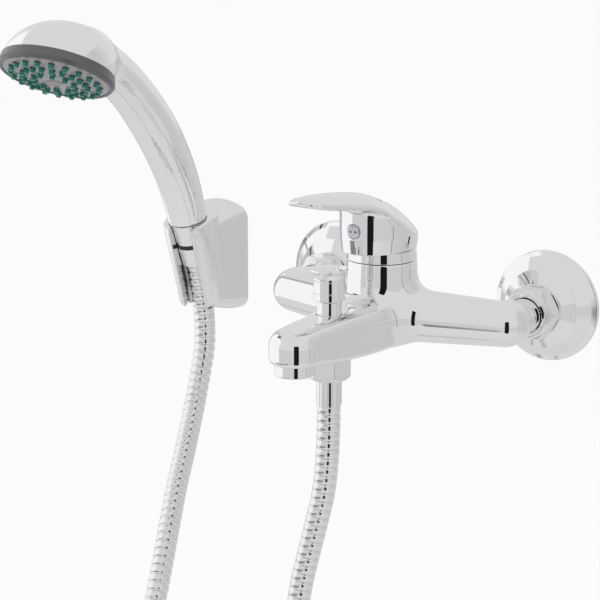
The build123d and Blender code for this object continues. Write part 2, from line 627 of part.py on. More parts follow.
def lever():
    """The lever: a hub with a spherical hollow about the pin, a cored socket and a rising blade."""
    skirt = loft([
        hub_outline(LEVER_BOTTOM, LEVER_BOTTOM_RADIUS / HUB_RADIUS),
        hub_outline(LEVER_SKIRT_TOP, 1.0),
    ])
    hub = at_column(skirt + extrude(hub_outline(LEVER_SKIRT_TOP, 1.0), CAP_HEIGHT))
    cap = [
        (-HUB_RADIUS - 0.5, 37.0, 49.7),
        (-15.0, 46.3, 57.5),
        (-8.0, 52.2, 63.2),
        (0.0, 57.0, 68.6),
        (10.0, 59.7, 73.0),
        (20.0, 60.5, 76.0),
        (HUB_NOSE + 1.0, 64.0, 79.4),
    ]
    sections = []
    for reach, edge, top in cap:
        sections.append(blade_section(COLUMN_Y - reach, HUB_RADIUS + 1.0, LEVER_BOTTOM - 5.0, edge, top))
    solid = hub & loft(sections)
    blade = [
        (-84.0, 16.5, 58.0, 62.0, 72.0),
        (-92.0, 17.3, 61.0, 67.5, 76.3),
        (-105.0, 17.0, 68.0, 72.5, 80.2),
        (-119.0, 16.0, 71.0, 75.0, 82.8),
        (-134.0, 14.8, 74.0, 78.0, 84.4),
        (-148.0, 13.2, 76.6, 80.3, 85.2),
        (-157.0, 10.5, 79.6, 82.0, 85.2),
        (-162.5, 5.0, 82.0, 83.2, 84.9),
    ]
    solid += loft([blade_section(*section) for section in blade])
    hollow = Pos(0, COLUMN_Y, PIVOT_Z) * Sphere(hypot(LEVER_BOTTOM_RADIUS, LEVER_BOTTOM - PIVOT_Z))
    solid -= hollow
    core = ring(SOCKET_RADIUS, CORE_RADIUS, SOCKET_BOTTOM - 3, CORE_TOP)
    rib = Pos(0, -CORE_RADIUS, SOCKET_BOTTOM + 1.0) * Box(10.0, CORE_RADIUS, CORE_TOP, align=UPRIGHT)
    solid -= at_column(core - rib)
    half_square = STEM_SQUARE / 2 + SLIDE_FIT
    solid -= Pos(0, COLUMN_Y, 0) * extrude(Rectangle(2 * half_square, 2 * half_square), SOCKET_DEPTH_TOP)
    screw_start = COLUMN_Y - half_square
    solid -= bar(SCREW_RADIUS + 0.02, (0, screw_start + 1, SCREW_Z), (0, screw_start - SCREW_LENGTH - 2, SCREW_Z))
    nose = COLUMN_Y - HUB_NOSE
    solid -= bar(SCREW_RADIUS + 0.8, (0, screw_start - SCREW_LENGTH - 2, SCREW_Z), (0, nose - 1, SCREW_Z))
    solid -= bar(INDICATOR_RADIUS + SLIDE_FIT, (0, nose + INDICATOR_DEPTH, INDICATOR_Z), (0, nose - 2, INDICATOR_Z))
    return solid


def lever_screw():
    """The grub screw that grips the stem, with its hexagon socket towards the front."""
    start = COLUMN_Y - STEM_SQUARE / 2 - SLIDE_FIT
    place = outward(0, start, SCREW_Z)
    return place * (rod(SCREW_RADIUS, 0, SCREW_LENGTH) - hexagon(SCREW_RADIUS, SCREW_LENGTH - 3, SCREW_LENGTH))


def indicator_cap():
    """The button with the hot and cold mark, in the front of the hub."""
    back = INDICATOR_DEPTH - SLIDE_FIT
    outline = [
        (0, 0),
        (INDICATOR_RADIUS, 0),
        (INDICATOR_RADIUS, back - 0.4),
        crown(INDICATOR_RADIUS, back - 0.4, back + 0.5),
    ]
    return outward(0, COLUMN_Y - HUB_NOSE + back, INDICATOR_Z) * turned(outline)


keep("cover_ring", at_column(cover_ring()))
keep("lever", lever())
keep("lever_screw", lever_screw())
keep("indicator_cap", indicator_cap())


# Diverter, about its own axis
def at_diverter(solid):
    """Place a piece that was drawn on the Z axis on the diverter's axis."""
    return Pos(0, DIVERTER_Y, 0) * solid


VALVE_BOTTOM = LOWER_CHAMBER[0] + SEAT_GAP
VALVE_TOP = VALVE_BOTTOM + VALVE_DISC + 2 * VALVE_SEAL
DIVERTER_TRAVEL = LOWER_CHAMBER[1] - SEAT_GAP - VALVE_TOP
SEAL_GROOVE = (UPPER_CHAMBER[1] + 0.9, BONNET_TOP - 0.9)


def diverter_knob():
    """The pull knob: a neck, a grooved body and a flared rim with a low crown."""
    outline = [
        (0, KNOB_BOTTOM),
        (KNOB_NECK_RADIUS, KNOB_BOTTOM),
        (KNOB_NECK_RADIUS, KNOB_SHOULDER),
        (KNOB_RADIUS - 0.8, KNOB_SHOULDER),
        (KNOB_RADIUS, KNOB_SHOULDER + 0.8),
    ]
    for groove in KNOB_GROOVES:
        outline += [(KNOB_RADIUS, groove - 0.4), (KNOB_RADIUS - 0.4, groove), (KNOB_RADIUS, groove + 0.4)]
    outline += [
        (KNOB_RADIUS, KNOB_TOP - 5.4),
        ((KNOB_RADIUS + 0.6, KNOB_TOP - 3.0), (KNOB_RIM_RADIUS, KNOB_TOP - 1.4)),
        ((KNOB_RIM_RADIUS, KNOB_TOP - 0.6), (KNOB_RIM_RADIUS - 0.8, KNOB_TOP)),
        crown(KNOB_RIM_RADIUS - 0.8, KNOB_TOP, KNOB_TOP + KNOB_CROWN),
    ]
    return turned(outline) - rod(STEM_RADIUS + THREAD_FIT, KNOB_BOTTOM, KNOB_SHOULDER + 4.5)


def diverter_stem():
    """The stem screwed into the knob, with the collar that lifts the valve."""
    collar_bottom = VALVE_BOTTOM - STEM_COLLAR
    return rod(STEM_RADIUS, collar_bottom, KNOB_SHOULDER + 4.0) + rod(3.2, collar_bottom, VALVE_BOTTOM)


def diverter_bonnet():
    """The screwed bonnet that closes the upper chamber round the stem, with two slots for its key."""
    solid = ring(STEM_RADIUS + SLIDE_FIT, BONNET_RADIUS, UPPER_CHAMBER[1], BONNET_TOP)
    solid -= ring(0.0, STEM_RADIUS + 1.4, *SEAL_GROOVE)
    for x in (-6.5, 6.5):
        solid -= Pos(x, 0, BONNET_TOP - 1.2) * Box(3.0, 1.6, 1.2, align=UPRIGHT)
    return solid


def diverter_stem_seal():
    """The ring in the bonnet's groove."""
    return ring(STEM_RADIUS + 0.02, STEM_RADIUS + 1.35, SEAL_GROOVE[0] + 0.1, SEAL_GROOVE[1] - 0.1)


def diverter_valve():
    """The brass valve disc between its two seals."""
    bottom = VALVE_BOTTOM + VALVE_SEAL
    return ring(STEM_RADIUS + THREAD_FIT, VALVE_RADIUS, bottom, bottom + VALVE_DISC)


def valve_seals():
    """The seals that close the shower seat below and the spout seat above."""
    inner = STEM_RADIUS + THREAD_FIT
    lower = ring(inner, VALVE_RADIUS, VALVE_BOTTOM, VALVE_BOTTOM + VALVE_SEAL)
    upper = ring(inner, VALVE_RADIUS, VALVE_TOP - VALVE_SEAL, VALVE_TOP)
    return [at_diverter(lower), at_diverter(upper)]


# Tubes on helices: two tangent arcs join each pair of points
def biarc(start, start_way, end, end_way):
    """Two arcs that meet smoothly, from start along start_way to end along end_way."""
    across = end - start
    a = 2 * start_way.dot(end_way) - 2
    b = -2 * across.dot(start_way + end_way)
    c = across.dot(across)
    reach = (-b - sqrt(b * b - 4 * a * c)) / (2 * a)
    corners = (start + start_way * reach, end - end_way * reach)
    joint = (corners[0] + corners[1]) * 0.5
    arcs = []
    for first, corner, last in ((start, corners[0], joint), (joint, corners[1], end)):
        middle = (first + last) * 0.5
        rise = corner - middle
        turn = 2 * atan2(rise.length, (last - first).length / 2)
        arcs.append(ThreePointArc(first, middle + rise * (tan(turn / 4) / tan(turn / 2)), last))
    return arcs


def helix_arcs(spot, way, turns, steps):
    """Arcs along a helix, given its point and its direction at a number of turns."""
    count = round(turns * steps)
    arcs = []
    for step in range(count):
        first, last = step * turns / count, (step + 1) * turns / count
        arcs += biarc(spot(first), way(first), spot(last), way(last))
    return arcs


def least_self_gap(spot, turns, radius, apart):
    """The least gap between parts of a helical tube that lie further apart than this many turns."""
    count = round(turns * 72)
    points = [spot(step * turns / count) for step in range(count + 1)]
    skip = round(apart * 72)
    gaps = [(points[i] - points[j]).length for i in range(count + 1) for j in range(i + skip, count + 1)]
    return min(gaps) - 2 * radius


def spring_spot(turn):
    """A point of the return spring's centre line."""
    rise = (UPPER_CHAMBER[1] - VALVE_TOP - SPRING_WIRE - 0.2) / SPRING_TURNS
    angle = 2 * pi * turn
    bottom = VALVE_TOP + SPRING_WIRE / 2 + 0.1
    return Vector(SPRING_MEAN_RADIUS * cos(angle), SPRING_MEAN_RADIUS * sin(angle), bottom + rise * turn)


def spring_way(turn):
    """The direction of the return spring's centre line."""
    rise = (UPPER_CHAMBER[1] - VALVE_TOP - SPRING_WIRE - 0.2) / SPRING_TURNS
    angle = 2 * pi * turn
    around = 2 * pi * SPRING_MEAN_RADIUS
    return Vector(-around * sin(angle), around * cos(angle), rise).normalized()


def diverter_spring():
    """The spring that drops the valve back when the water is turned off."""
    path = Wire(helix_arcs(spring_spot, spring_way, SPRING_TURNS, 4))
    section = Plane(origin=spring_spot(0), z_dir=spring_way(0)) * Circle(SPRING_WIRE / 2)
    return sweep(section, path)


keep("diverter_knob", at_diverter(diverter_knob()))
keep("diverter_stem", at_diverter(diverter_stem()))
keep("diverter_bonnet", at_diverter(diverter_bonnet()))
keep("diverter_stem_seal", at_diverter(diverter_stem_seal()))
keep("diverter_valve", at_diverter(diverter_valve()))
keep("diverter_valve_seals", *valve_seals())
keep("diverter_spring", at_diverter(diverter_spring()))


# Aerator
AERATOR_TOP = NOSE_BOTTOM + AERATOR_THREAD_LENGTH
AERATOR_BOTTOM = NOSE_BOTTOM - AERATOR_SKIRT


def aerator_housing():
    """The screwed housing, with the lip that holds the insert."""
    solid = rod(AERATOR_SKIRT_RADIUS, AERATOR_BOTTOM, NOSE_BOTTOM) + rod(AERATOR_THREAD, NOSE_BOTTOM, AERATOR_TOP)
    solid -= rod(AERATOR_BORE, AERATOR_BOTTOM + 1.0, AERATOR_TOP)
    return solid - rod(AERATOR_BORE - 0.8, AERATOR_BOTTOM, AERATOR_TOP)


def aerator_insert():
    """The flow former: a round plug with three rings of holes."""
    radius = AERATOR_BORE - SLIDE_FIT
    section = Circle(radius)
    for count, reach in ((6, 2.6), (12, 5.0), (18, 7.4)):
        section -= PolarLocations(reach, count) * Circle(0.8)
    return Pos(0, 0, AERATOR_BOTTOM + 1.0) * extrude(section, AERATOR_TOP - AERATOR_BOTTOM - 2.0)


keep("aerator_housing", Pos(0, SPOUT_Y, 0) * aerator_housing())
keep("aerator_insert", Pos(0, SPOUT_Y, 0) * aerator_insert())
keep("aerator_seal", Pos(0, SPOUT_Y, 0) * ring(
    6.5, AERATOR_THREAD - 0.1, AERATOR_TOP, AERATOR_TOP + AERATOR_SEAL_THICK))


# Hose fittings at the mixer
HOSE_WASHER_THICK = 1.5
INSERT_FLANGE = 2.0
INSERT_TOP = OUTLET_BOTTOM - HOSE_WASHER_THICK
NUT_SHOULDER = INSERT_TOP - INSERT_FLANGE
BARB_RADIUS = 4.0
BARB_BORE = 3.0


def hose_nut():
    """The hexagonal nut of the hose, chamfered round at both ends."""
    corner = HOSE_NUT_FLATS / 2 / cos(radians(30))
    flat = HOSE_NUT_FLATS / 2
    outline = [
        (0, HOSE_NUT_BOTTOM),
        (flat - 1.2, HOSE_NUT_BOTTOM),
        (corner + 0.1, HOSE_NUT_BOTTOM + 2.2),
        (corner + 0.1, HOSE_NUT_TOP - 1.2),
        (flat, HOSE_NUT_TOP),
        (0, HOSE_NUT_TOP),
    ]
    hexagonal = Rot(0, 0, HOSE_NUT_TURN) * hexagon(HOSE_NUT_FLATS, HOSE_NUT_BOTTOM, HOSE_NUT_TOP)
    solid = hexagonal & turned(outline)
    solid -= rod(HALF_INCH + THREAD_FIT, NUT_SHOULDER, HOSE_NUT_TOP)
    return solid - rod(FERRULE_RADIUS - 0.6, HOSE_NUT_BOTTOM, NUT_SHOULDER)


def hose_insert(top, flange_radius, bottom):
    """The barbed insert: a flange that the nut holds, a neck and the barb inside the hose's end."""
    neck = top - INSERT_FLANGE
    solid = rod(flange_radius, neck, top) + rod(FERRULE_RADIUS - 1.0, neck - 3.0, neck)
    solid += rod(BARB_RADIUS, bottom, neck - 3.0)
    return solid - rod(BARB_BORE, bottom, top)


def ferrule(radius, bottom, top):
    """The crimped sleeve round the hose's end, with flutes round it."""
    section = Circle(radius) - PolarLocations(radius + 0.25, 18) * Circle(0.5)
    return Pos(0, 0, bottom) * extrude(section - Circle(BARB_RADIUS + THREAD_FIT), top - bottom)


FERRULE_TOP = NUT_SHOULDER - 3.2
keep("hose_nut", at_diverter(hose_nut()))
keep("hose_nut_washer", at_diverter(ring(6.0, HALF_INCH - 0.4, INSERT_TOP, OUTLET_BOTTOM)))
keep("hose_insert_mixer", at_diverter(hose_insert(INSERT_TOP, HALF_INCH - 0.6, FERRULE_BOTTOM)))
keep("hose_ferrule_mixer", at_diverter(ferrule(FERRULE_RADIUS, FERRULE_BOTTOM, FERRULE_TOP)))


# The cradle's axis and the handset's own plane, which lies a little further round
cradle_place = Pos(*CRADLE_RIM) * Rot(CRADLE_LEAN, 0, 0)
handset_place = cradle_place * Rot(0, 0, HANDSET_TURN)


def cone_radius(height):
    """The cone nut's radius at a height along the cradle's axis."""
    slope = (CONE_TOP_RADIUS - CONE_BOTTOM_RADIUS) / CONE_LENGTH
    return CONE_TOP_RADIUS + (height - CONE_TOP) * slope


# Shower hose
CONE_BOTTOM = CONE_TOP - CONE_LENGTH
HOSE_END = CONE_BOTTOM - 0.6    # where the hose meets the handset's ferrule, on the cradle's axis


def on_cradle_axis(height):
    """A point on the cradle's axis, at a height above its rim."""
    lean = radians(CRADLE_LEAN)
    x, y, z = CRADLE_RIM
    return (x, y - height * sin(lean), z + height * cos(lean))


def coil_spot(turn):
    """A point of the coil's centre line: down on the right, across below and up on the left."""
    angle = 2 * pi * turn
    x, z = COIL_CENTRE
    return Vector(x + COIL_RADIUS * cos(angle), COIL_START_Y - COIL_PITCH * turn, z - COIL_RADIUS * sin(angle))


def coil_way(turn):
    """The direction of the coil's centre line."""
    angle = 2 * pi * turn
    around = 2 * pi * COIL_RADIUS
    return Vector(-around * sin(angle), -COIL_PITCH, -around * cos(angle)).normalized()


COIL_LEAD = 2 * HOSE_RADIUS     # straight ends of the coil
coil_entry = coil_spot(0) - coil_way(0) * COIL_LEAD
coil_exit = coil_spot(COIL_TURNS) + coil_way(COIL_TURNS) * COIL_LEAD

MIXER_SIDE_ROUTE = [
    Vector(0, DIVERTER_Y, FERRULE_BOTTOM),
    Vector(0, DIVERTER_Y, -86.0),
    Vector(-9.5, -133.0, -126.0),
    Vector(-19.0, -137.0, -170.0),
    Vector(-16.0, -142.0, -216.0),
    Vector(-5.0, -145.5, -262.0),
    coil_spot(0) - coil_way(0) * (COIL_LEAD + 44.0),
    coil_entry,
]
HANDSET_SIDE_ROUTE = [
    Vector(*on_cradle_axis(HOSE_END)),
    Vector(*on_cradle_axis(HOSE_END - 47.0)),
    Vector(-171.5, -29.3, -89.6),
    Vector(-158.8, -61.3, -121.5),
    Vector(-151.0, -82.0, -140.0),
    Vector(-139.0, -110.0, -170.0),
    Vector(-130.0, -137.0, -208.0),
    Vector(-138.5, -158.0, -254.0),
    coil_spot(COIL_TURNS) + coil_way(COIL_TURNS) * (COIL_LEAD + 44.0),
    coil_exit,
]


def corner_radii(route):
    """The radius of each corner's arc: 0.45 of the shorter run beside it, over the tangent of half its turn."""
    radii = []
    for before, corner, after in zip(route, route[1:], route[2:]):
        run_in, run_out = corner - before, after - corner
        half_turn = radians(run_in.get_angle(run_out)) / 2
        radii.append(0.45 * min(run_in.length, run_out.length) / tan(half_turn))
    return radii


def ribbed_tube(route):
    """A metal hose along a route: its ribs with their grooves, and its bore."""
    path = FilletPolyline(*route, radius=corner_radii(route))
    ribs = round(path.length / RIB_PITCH)
    pitch = path.length / ribs
    crest_end = pitch - RIB_GROOVE - RIB_SLOPE
    outer, inner = [], []

    def circle(distance, radius):
        spot = path.position_at(distance / path.length)
        plane = Plane(origin=spot, x_dir=(1, 0, 0), z_dir=path.tangent_at(distance / path.length))
        return Wire.make_circle(radius, plane)

    for rib in range(ribs):
        start = rib * pitch
        for step, radius in (
            (0.0, HOSE_GROOVE_RADIUS),
            (RIB_SLOPE, HOSE_RADIUS),
            (crest_end, HOSE_RADIUS),
            (crest_end + RIB_SLOPE, HOSE_GROOVE_RADIUS),
        ):
            outer.append(circle(start + step, radius))
        inner.append(circle(start, HOSE_BORE_RADIUS))
    outer.append(circle(path.length, HOSE_GROOVE_RADIUS))
    inner.append(circle(path.length, HOSE_BORE_RADIUS))
    tube = Solid.make_loft(outer, ruled=True) - Solid.make_loft(inner, ruled=True)
    return tube, path.length, ribs


def hose_coil():
    """The coil as one unbroken tube, with a straight diameter at each end."""
    lead_in = Line(coil_entry, coil_spot(0))
    lead_out = Line(coil_spot(COIL_TURNS), coil_exit)
    path = Wire([lead_in] + helix_arcs(coil_spot, coil_way, COIL_TURNS, 4) + [lead_out])
    section = Plane(origin=coil_entry, z_dir=coil_way(0)) * Circle(HOSE_RADIUS)
    bore = Plane(origin=coil_entry, z_dir=coil_way(0)) * Circle(HOSE_BORE_RADIUS)
    return sweep(section, path) - sweep(bore, path), path.length


def hose_tie():
    """The tie round the two passes at the bottom of the coil."""
    clearance = 0.3
    width = COIL_PITCH + 2 * (HOSE_RADIUS + clearance)
    height = 2 * (HOSE_RADIUS + clearance)
    middle = (coil_spot(0.25) + coil_spot(1.25)) * 0.5
    outer = RectangleRounded(width + 2 * TIE_WALL, height + 2 * TIE_WALL, HOSE_RADIUS + clearance + TIE_WALL - 0.01)
    inner = RectangleRounded(width, height, HOSE_RADIUS + clearance - 0.01)
    plane = Plane(origin=(middle.X - TIE_WIDTH / 2, middle.Y, middle.Z), x_dir=(0, 1, 0), z_dir=(1, 0, 0))
    return plane * extrude(outer - inner, TIE_WIDTH)


mixer_side, mixer_side_length, mixer_side_ribs = ribbed_tube(MIXER_SIDE_ROUTE)
handset_side, handset_side_length, handset_side_ribs = ribbed_tube(HANDSET_SIDE_ROUTE)
coil, coil_length = hose_coil()
keep("hose_mixer_side", mixer_side)
keep("hose_handset_side", handset_side)
keep("hose_coil", coil)
keep("hose_tie", hose_tie())
print("radii, mixer side:", [round(radius) for radius in corner_radii(MIXER_SIDE_ROUTE)])
print("radii, handset side:", [round(radius) for radius in corner_radii(HANDSET_SIDE_ROUTE)])
print("lengths:", round(mixer_side_length), round(coil_length), round(handset_side_length),
      "in all", round(mixer_side_length + coil_length + handset_side_length))
print("ribs:", mixer_side_ribs, handset_side_ribs)
print("coil volume over section times length:",
      round(coil.volume / (pi * (HOSE_RADIUS ** 2 - HOSE_BORE_RADIUS ** 2) * coil_length), 4))
print("least gap of the coil to itself:", round(least_self_gap(coil_spot, COIL_TURNS, HOSE_RADIUS, 0.5), 2))
print("least gap of the spring to itself:",
      round(least_self_gap(spring_spot, SPRING_TURNS, SPRING_WIRE / 2, 0.5), 2))


# Hose fittings and the cone nut at the handset, drawn on the Z axis with the cradle's rim at 0
SPIGOT_BOTTOM = HANDLE_START - SPIGOT_LENGTH
CONE_WASHER_THICK = 2.0
END_INSERT_TOP = SPIGOT_BOTTOM - CONE_WASHER_THICK
END_INSERT_FLANGE_RADIUS = 9.0
END_FERRULE_RADIUS = 6.9


def cone_nut():
    """The conical nut that rests in the cradle."""
    shoulder = END_INSERT_TOP - INSERT_FLANGE
    solid = turned([
        (0, CONE_BOTTOM),
        (CONE_BOTTOM_RADIUS, CONE_BOTTOM),
        (CONE_TOP_RADIUS, CONE_TOP),
        (0, CONE_TOP),
    ])
    solid -= rod(HALF_INCH + THREAD_FIT, END_INSERT_TOP, CONE_TOP)
    solid -= rod(END_INSERT_FLANGE_RADIUS + LOOSE_FIT, shoulder, SPIGOT_BOTTOM)
    solid -= rod(END_FERRULE_RADIUS + LOOSE_FIT, CONE_BOTTOM, shoulder)
    return solid - band_ring(0.0)


def band_ring(clearance):
    """The ring of the black band, or the groove for it."""
    bottom, top = BAND_CENTRE - BAND_WIDTH / 2, BAND_CENTRE + BAND_WIDTH / 2
    return turned([
        (cone_radius(bottom) - 0.8 + clearance, bottom),
        (cone_radius(bottom) + 0.1, bottom),
        (cone_radius(top) + 0.1, top),
        (cone_radius(top) - 0.8 + clearance, top),
    ])


END_FERRULE_TOP = END_INSERT_TOP - INSERT_FLANGE - 0.2
keep("cone_nut", handset_place * cone_nut())
keep("cone_band", handset_place * band_ring(0.02))
keep("cone_washer", handset_place * ring(6.0, 10.0, END_INSERT_TOP, SPIGOT_BOTTOM))


def end_insert():
    """The barbed insert at the handset's end of the hose."""
    neck = END_INSERT_TOP - INSERT_FLANGE
    solid = rod(END_INSERT_FLANGE_RADIUS, neck, END_INSERT_TOP) + rod(BARB_RADIUS, HOSE_END, neck)
    return solid - rod(BARB_BORE, HOSE_END, END_INSERT_TOP)


keep("hose_insert_handset", cradle_place * end_insert())
keep("hose_ferrule_handset", cradle_place * ferrule(END_FERRULE_RADIUS, HOSE_END, END_FERRULE_TOP))


# Handset, in its own plane
def handle_way(index):
    """The direction of the handle's centre line at one of its points, as (forward, up)."""
    if index == 0:
        return (0.0, 1.0)
    before = HANDLE_POINTS[index - 1]
    after = HANDLE_POINTS[min(index + 1, len(HANDLE_POINTS) - 1)]
    return (after[0] - before[0], after[1] - before[1])


def handle_circle(index, radius):
    """A round section of the handle or of a tube inside it."""
    forward, up, _ = HANDLE_POINTS[index]
    way = handle_way(index)
    plane = Plane(origin=(0, -forward, up), x_dir=(1, 0, 0), z_dir=(0, -way[0], way[1]))
    return plane * Circle(radius)


face_place = Pos(0, -FACE_CENTRE[0], FACE_CENTRE[1]) * Rot(-FACE_TILT, 0, 0)


def head_outline(inset):
    """Half the head's section behind the trim ring, inset by a wall's thickness."""
    radius = HEAD_RADIUS - inset
    top = HEAD_DOME - inset
    rise = top - TRIM_HEIGHT
    shoulder = (radius * 0.66, TRIM_HEIGHT + rise * 0.78)
    return [
        (0, TRIM_HEIGHT),
        (radius, TRIM_HEIGHT),
        ((radius * 0.93, TRIM_HEIGHT + rise * 0.42), shoulder),
        crown(*shoulder, top),
    ]


def handset_shell():
    """The chromed shell of handle and head in one, with the threaded spigot."""
    last = len(HANDLE_POINTS) - 1
    handle = loft([handle_circle(i, HANDLE_POINTS[i][2] / 2) for i in range(last + 1)])
    solid = handle + face_place * turned(head_outline(0.0))
    solid += rod(HALF_INCH, SPIGOT_BOTTOM, HANDLE_START + 1)
    solid -= face_place * turned(head_outline(HANDLE_WALL))
    solid -= loft([handle_circle(i, HANDLE_POINTS[i][2] / 2 - HANDLE_WALL) for i in range(1, last + 1)])
    return solid - rod(SPIGOT_BORE + THREAD_FIT, SPIGOT_BOTTOM, HANDLE_POINTS[1][1] + 1)


def handset_tube():
    """The water tube inside the handle, from the spigot to the head."""
    last = len(HANDLE_POINTS) - 1
    outer = rod(SPIGOT_BORE, SPIGOT_BOTTOM + 3, HANDLE_POINTS[1][1])
    outer += loft([handle_circle(i, SPIGOT_BORE) for i in range(1, last + 1)])
    inner = rod(SPIGOT_BORE - 1.2, SPIGOT_BOTTOM + 3, HANDLE_POINTS[1][1])
    inner += loft([handle_circle(i, SPIGOT_BORE - 1.2) for i in range(1, last + 1)])
    return outer - inner


def nozzle_spots():
    """The places of the nozzles: rows of three, evenly round the face."""
    spots = []
    for row in range(NOZZLE_ROWS):
        angle = 2 * pi * (row + 0.5) / NOZZLE_ROWS
        for reach in NOZZLE_RINGS:
            spots.append((reach * cos(angle), reach * sin(angle)))
    return spots


PLATE_WALL = 1.8
PLATE_SKIRT = 9.0


def spray_plate():
    """The grey spray plate: a bulging front with a hole for each nozzle, and a skirt inside the shell."""
    radius = FACE_RADIUS - LOOSE_FIT / 3
    inner = radius - PLATE_WALL
    front_middle, front_centre = crown(radius, 0, -FACE_BULGE)
    outline = [
        front_centre,
        (front_middle, (radius, 0)),
        (radius, PLATE_SKIRT),
        (inner, PLATE_SKIRT),
        (inner, PLATE_WALL),
        crown(inner, PLATE_WALL, PLATE_WALL - FACE_BULGE),
    ]
    holes = [rod(NOZZLE_RADIUS + 0.1, -FACE_BULGE - 1, PLATE_SKIRT, x, y) for x, y in nozzle_spots()]
    return turned(outline) - holes


def spray_nozzles():
    """The rubber mat behind the plate, with its nozzles standing out through the holes."""
    radius = FACE_RADIUS - PLATE_WALL - 0.5
    mat = rod(radius, PLATE_WALL + 0.1, PLATE_WALL + 1.9)
    nozzles = []
    for x, y in nozzle_spots():
        front = -FACE_BULGE * (1 - (x * x + y * y) / FACE_RADIUS ** 2) - NOZZLE_HEIGHT
        nozzles.append(rod(NOZZLE_RADIUS, front, PLATE_WALL + 0.5, x, y))
    return mat + nozzles


def trim_ring():
    """The grey trim ring round the plate, under the shell's rim."""
    inner = FACE_RADIUS
    return turned([
        (inner, -0.4),
        (TRIM_RADIUS - 1.4, -0.4),
        ((TRIM_RADIUS - 0.3, 0.5), (TRIM_RADIUS, 2.0)),
        (TRIM_RADIUS, TRIM_HEIGHT - 0.1),
        (inner, TRIM_HEIGHT - 0.1),
    ])


keep("handset_shell", handset_place * handset_shell())
keep("handset_tube", handset_place * handset_tube())
keep("spray_plate", handset_place * face_place * spray_plate())
keep("spray_nozzles", handset_place * face_place * spray_nozzles())
keep("trim_ring", handset_place * face_place * trim_ring())
keep("spray_seal", handset_place * face_place * ring(
    FACE_RADIUS - PLATE_WALL - 1.5, FACE_RADIUS - 1.0, PLATE_SKIRT, PLATE_SKIRT + 1.5))


# Wall bracket
def bracket_outline(half_width, half_height, crown, corner):
    """The bracket's outline as seen from the front, with crowned top and bottom."""
    side = half_height - crown
    edges = [
        Line((half_width, -side), (half_width, side)),
        ThreePointArc((half_width, side), (0, half_height), (-half_width, side)),
        Line((-half_width, side), (-half_width, -side)),
        ThreePointArc((-half_width, -side), (0, -half_height), (half_width, -side)),
    ]
    face = make_face(edges)
    return fillet(face.vertices(), corner)


def bracket_block(inset):
    """The block between the wall and the cradle, narrowing towards the front, inset by a wall's thickness."""
    back = Plane(origin=(BRACKET_X, 0, 0), x_dir=(1, 0, 0), z_dir=(0, -1, 0))
    lean = radians(6.0)
    front = Plane(origin=(BRACKET_X, -BRACKET_DEPTH + 5.0 + inset, 1.0), x_dir=(1, 0, 0),
                  z_dir=(0, -cos(lean), -sin(lean)))
    wide = bracket_outline(BRACKET_HALF_WIDTH + 0.5 - inset, BRACKET_HALF_HEIGHT - inset, 6.0, 5.0 - inset)
    narrow = bracket_outline(BRACKET_HALF_WIDTH - 5.0 - inset, BRACKET_HALF_HEIGHT - 8.0 - inset, 2.5, 4.0 - inset)
    return loft([back * wide, front * narrow])


def cradle():
    """The tilted sleeve that the cone nut rests in."""
    return turned([
        (0, -CRADLE_LENGTH),
        (CRADLE_BOTTOM_RADIUS, -CRADLE_LENGTH),
        (CRADLE_TOP_RADIUS, 0),
        (0, 0),
    ])


def cradle_bore():
    """The room for the cone nut, the hose and the slot through which the hose is hooked in."""
    step = CONE_BOTTOM - LOOSE_FIT
    lower_radius = CONE_BOTTOM_RADIUS + LOOSE_FIT
    bore = turned([
        (0, -CRADLE_LENGTH - 20),
        (lower_radius, -CRADLE_LENGTH - 20),
        (lower_radius, step),
        (cone_radius(2.0) + LOOSE_FIT, 2.0),
        (0, 2.0),
    ])
    slot = Pos(0, -20, -CRADLE_LENGTH - 20) * Box(CRADLE_SLOT, 40, CRADLE_LENGTH + 40, align=UPRIGHT)
    return bore + Rot(0, 0, CRADLE_SLOT_TURN) * slot


def wall_bracket():
    """The bracket in one moulding: a hollow block on the wall and the slotted cradle in front of it."""
    solid = bracket_block(0.0) + cradle_place * cradle()
    pocket_depth = 13.0
    pocket = bracket_block(BRACKET_WALL) & Pos(BRACKET_X, 0, 0) * Box(100, 2 * pocket_depth, 100)
    for z in (-SCREW_SPACING / 2, SCREW_SPACING / 2):
        pocket -= bar(6.5, (BRACKET_X, 1, z), (BRACKET_X, -BRACKET_DEPTH, z))
    solid -= pocket
    solid -= cradle_place * cradle_bore()
    for z in (-SCREW_SPACING / 2, SCREW_SPACING / 2):
        solid -= bar(BRACKET_SCREW_RADIUS + LOOSE_FIT, (BRACKET_X, 1, z), (BRACKET_X, -60, z))
        solid -= bar(BRACKET_SCREW_HEAD + LOOSE_FIT, (BRACKET_X, screw_seat(z), z), (BRACKET_X, -60, z))
    return solid


def screw_seat(z):
    """The Y of a screw's seat: deep enough behind the cradle's bore for the head."""
    x, y, rim_z = CRADLE_RIM
    down = (rim_z - z) / cos(radians(CRADLE_LEAN))
    axis_y = y + down * sin(radians(CRADLE_LEAN))
    bore = max(cone_radius(-down), CONE_BOTTOM_RADIUS) + LOOSE_FIT
    return axis_y + bore + 5.2


def bracket_screw(z):
    """A wall screw with a thread, a thinner plain shank and a flat round head."""
    seat = screw_seat(z)
    shank = bar(BRACKET_SCREW_RADIUS, (BRACKET_X, BRACKET_SCREW_REACH, z), (BRACKET_X, 0, z))
    shank += bar(BRACKET_SHANK_RADIUS, (BRACKET_X, 1, z), (BRACKET_X, seat - 1, z))
    head = bar(BRACKET_SCREW_HEAD, (BRACKET_X, seat, z), (BRACKET_X, seat - 2.6, z))
    key = Plane(origin=(BRACKET_X, seat - 2.6, z), z_dir=(0, 1, 0)) * (
        Box(5.0, 1.1, 1.4, align=UPRIGHT) + Box(1.1, 5.0, 1.4, align=UPRIGHT))
    return shank + head - key


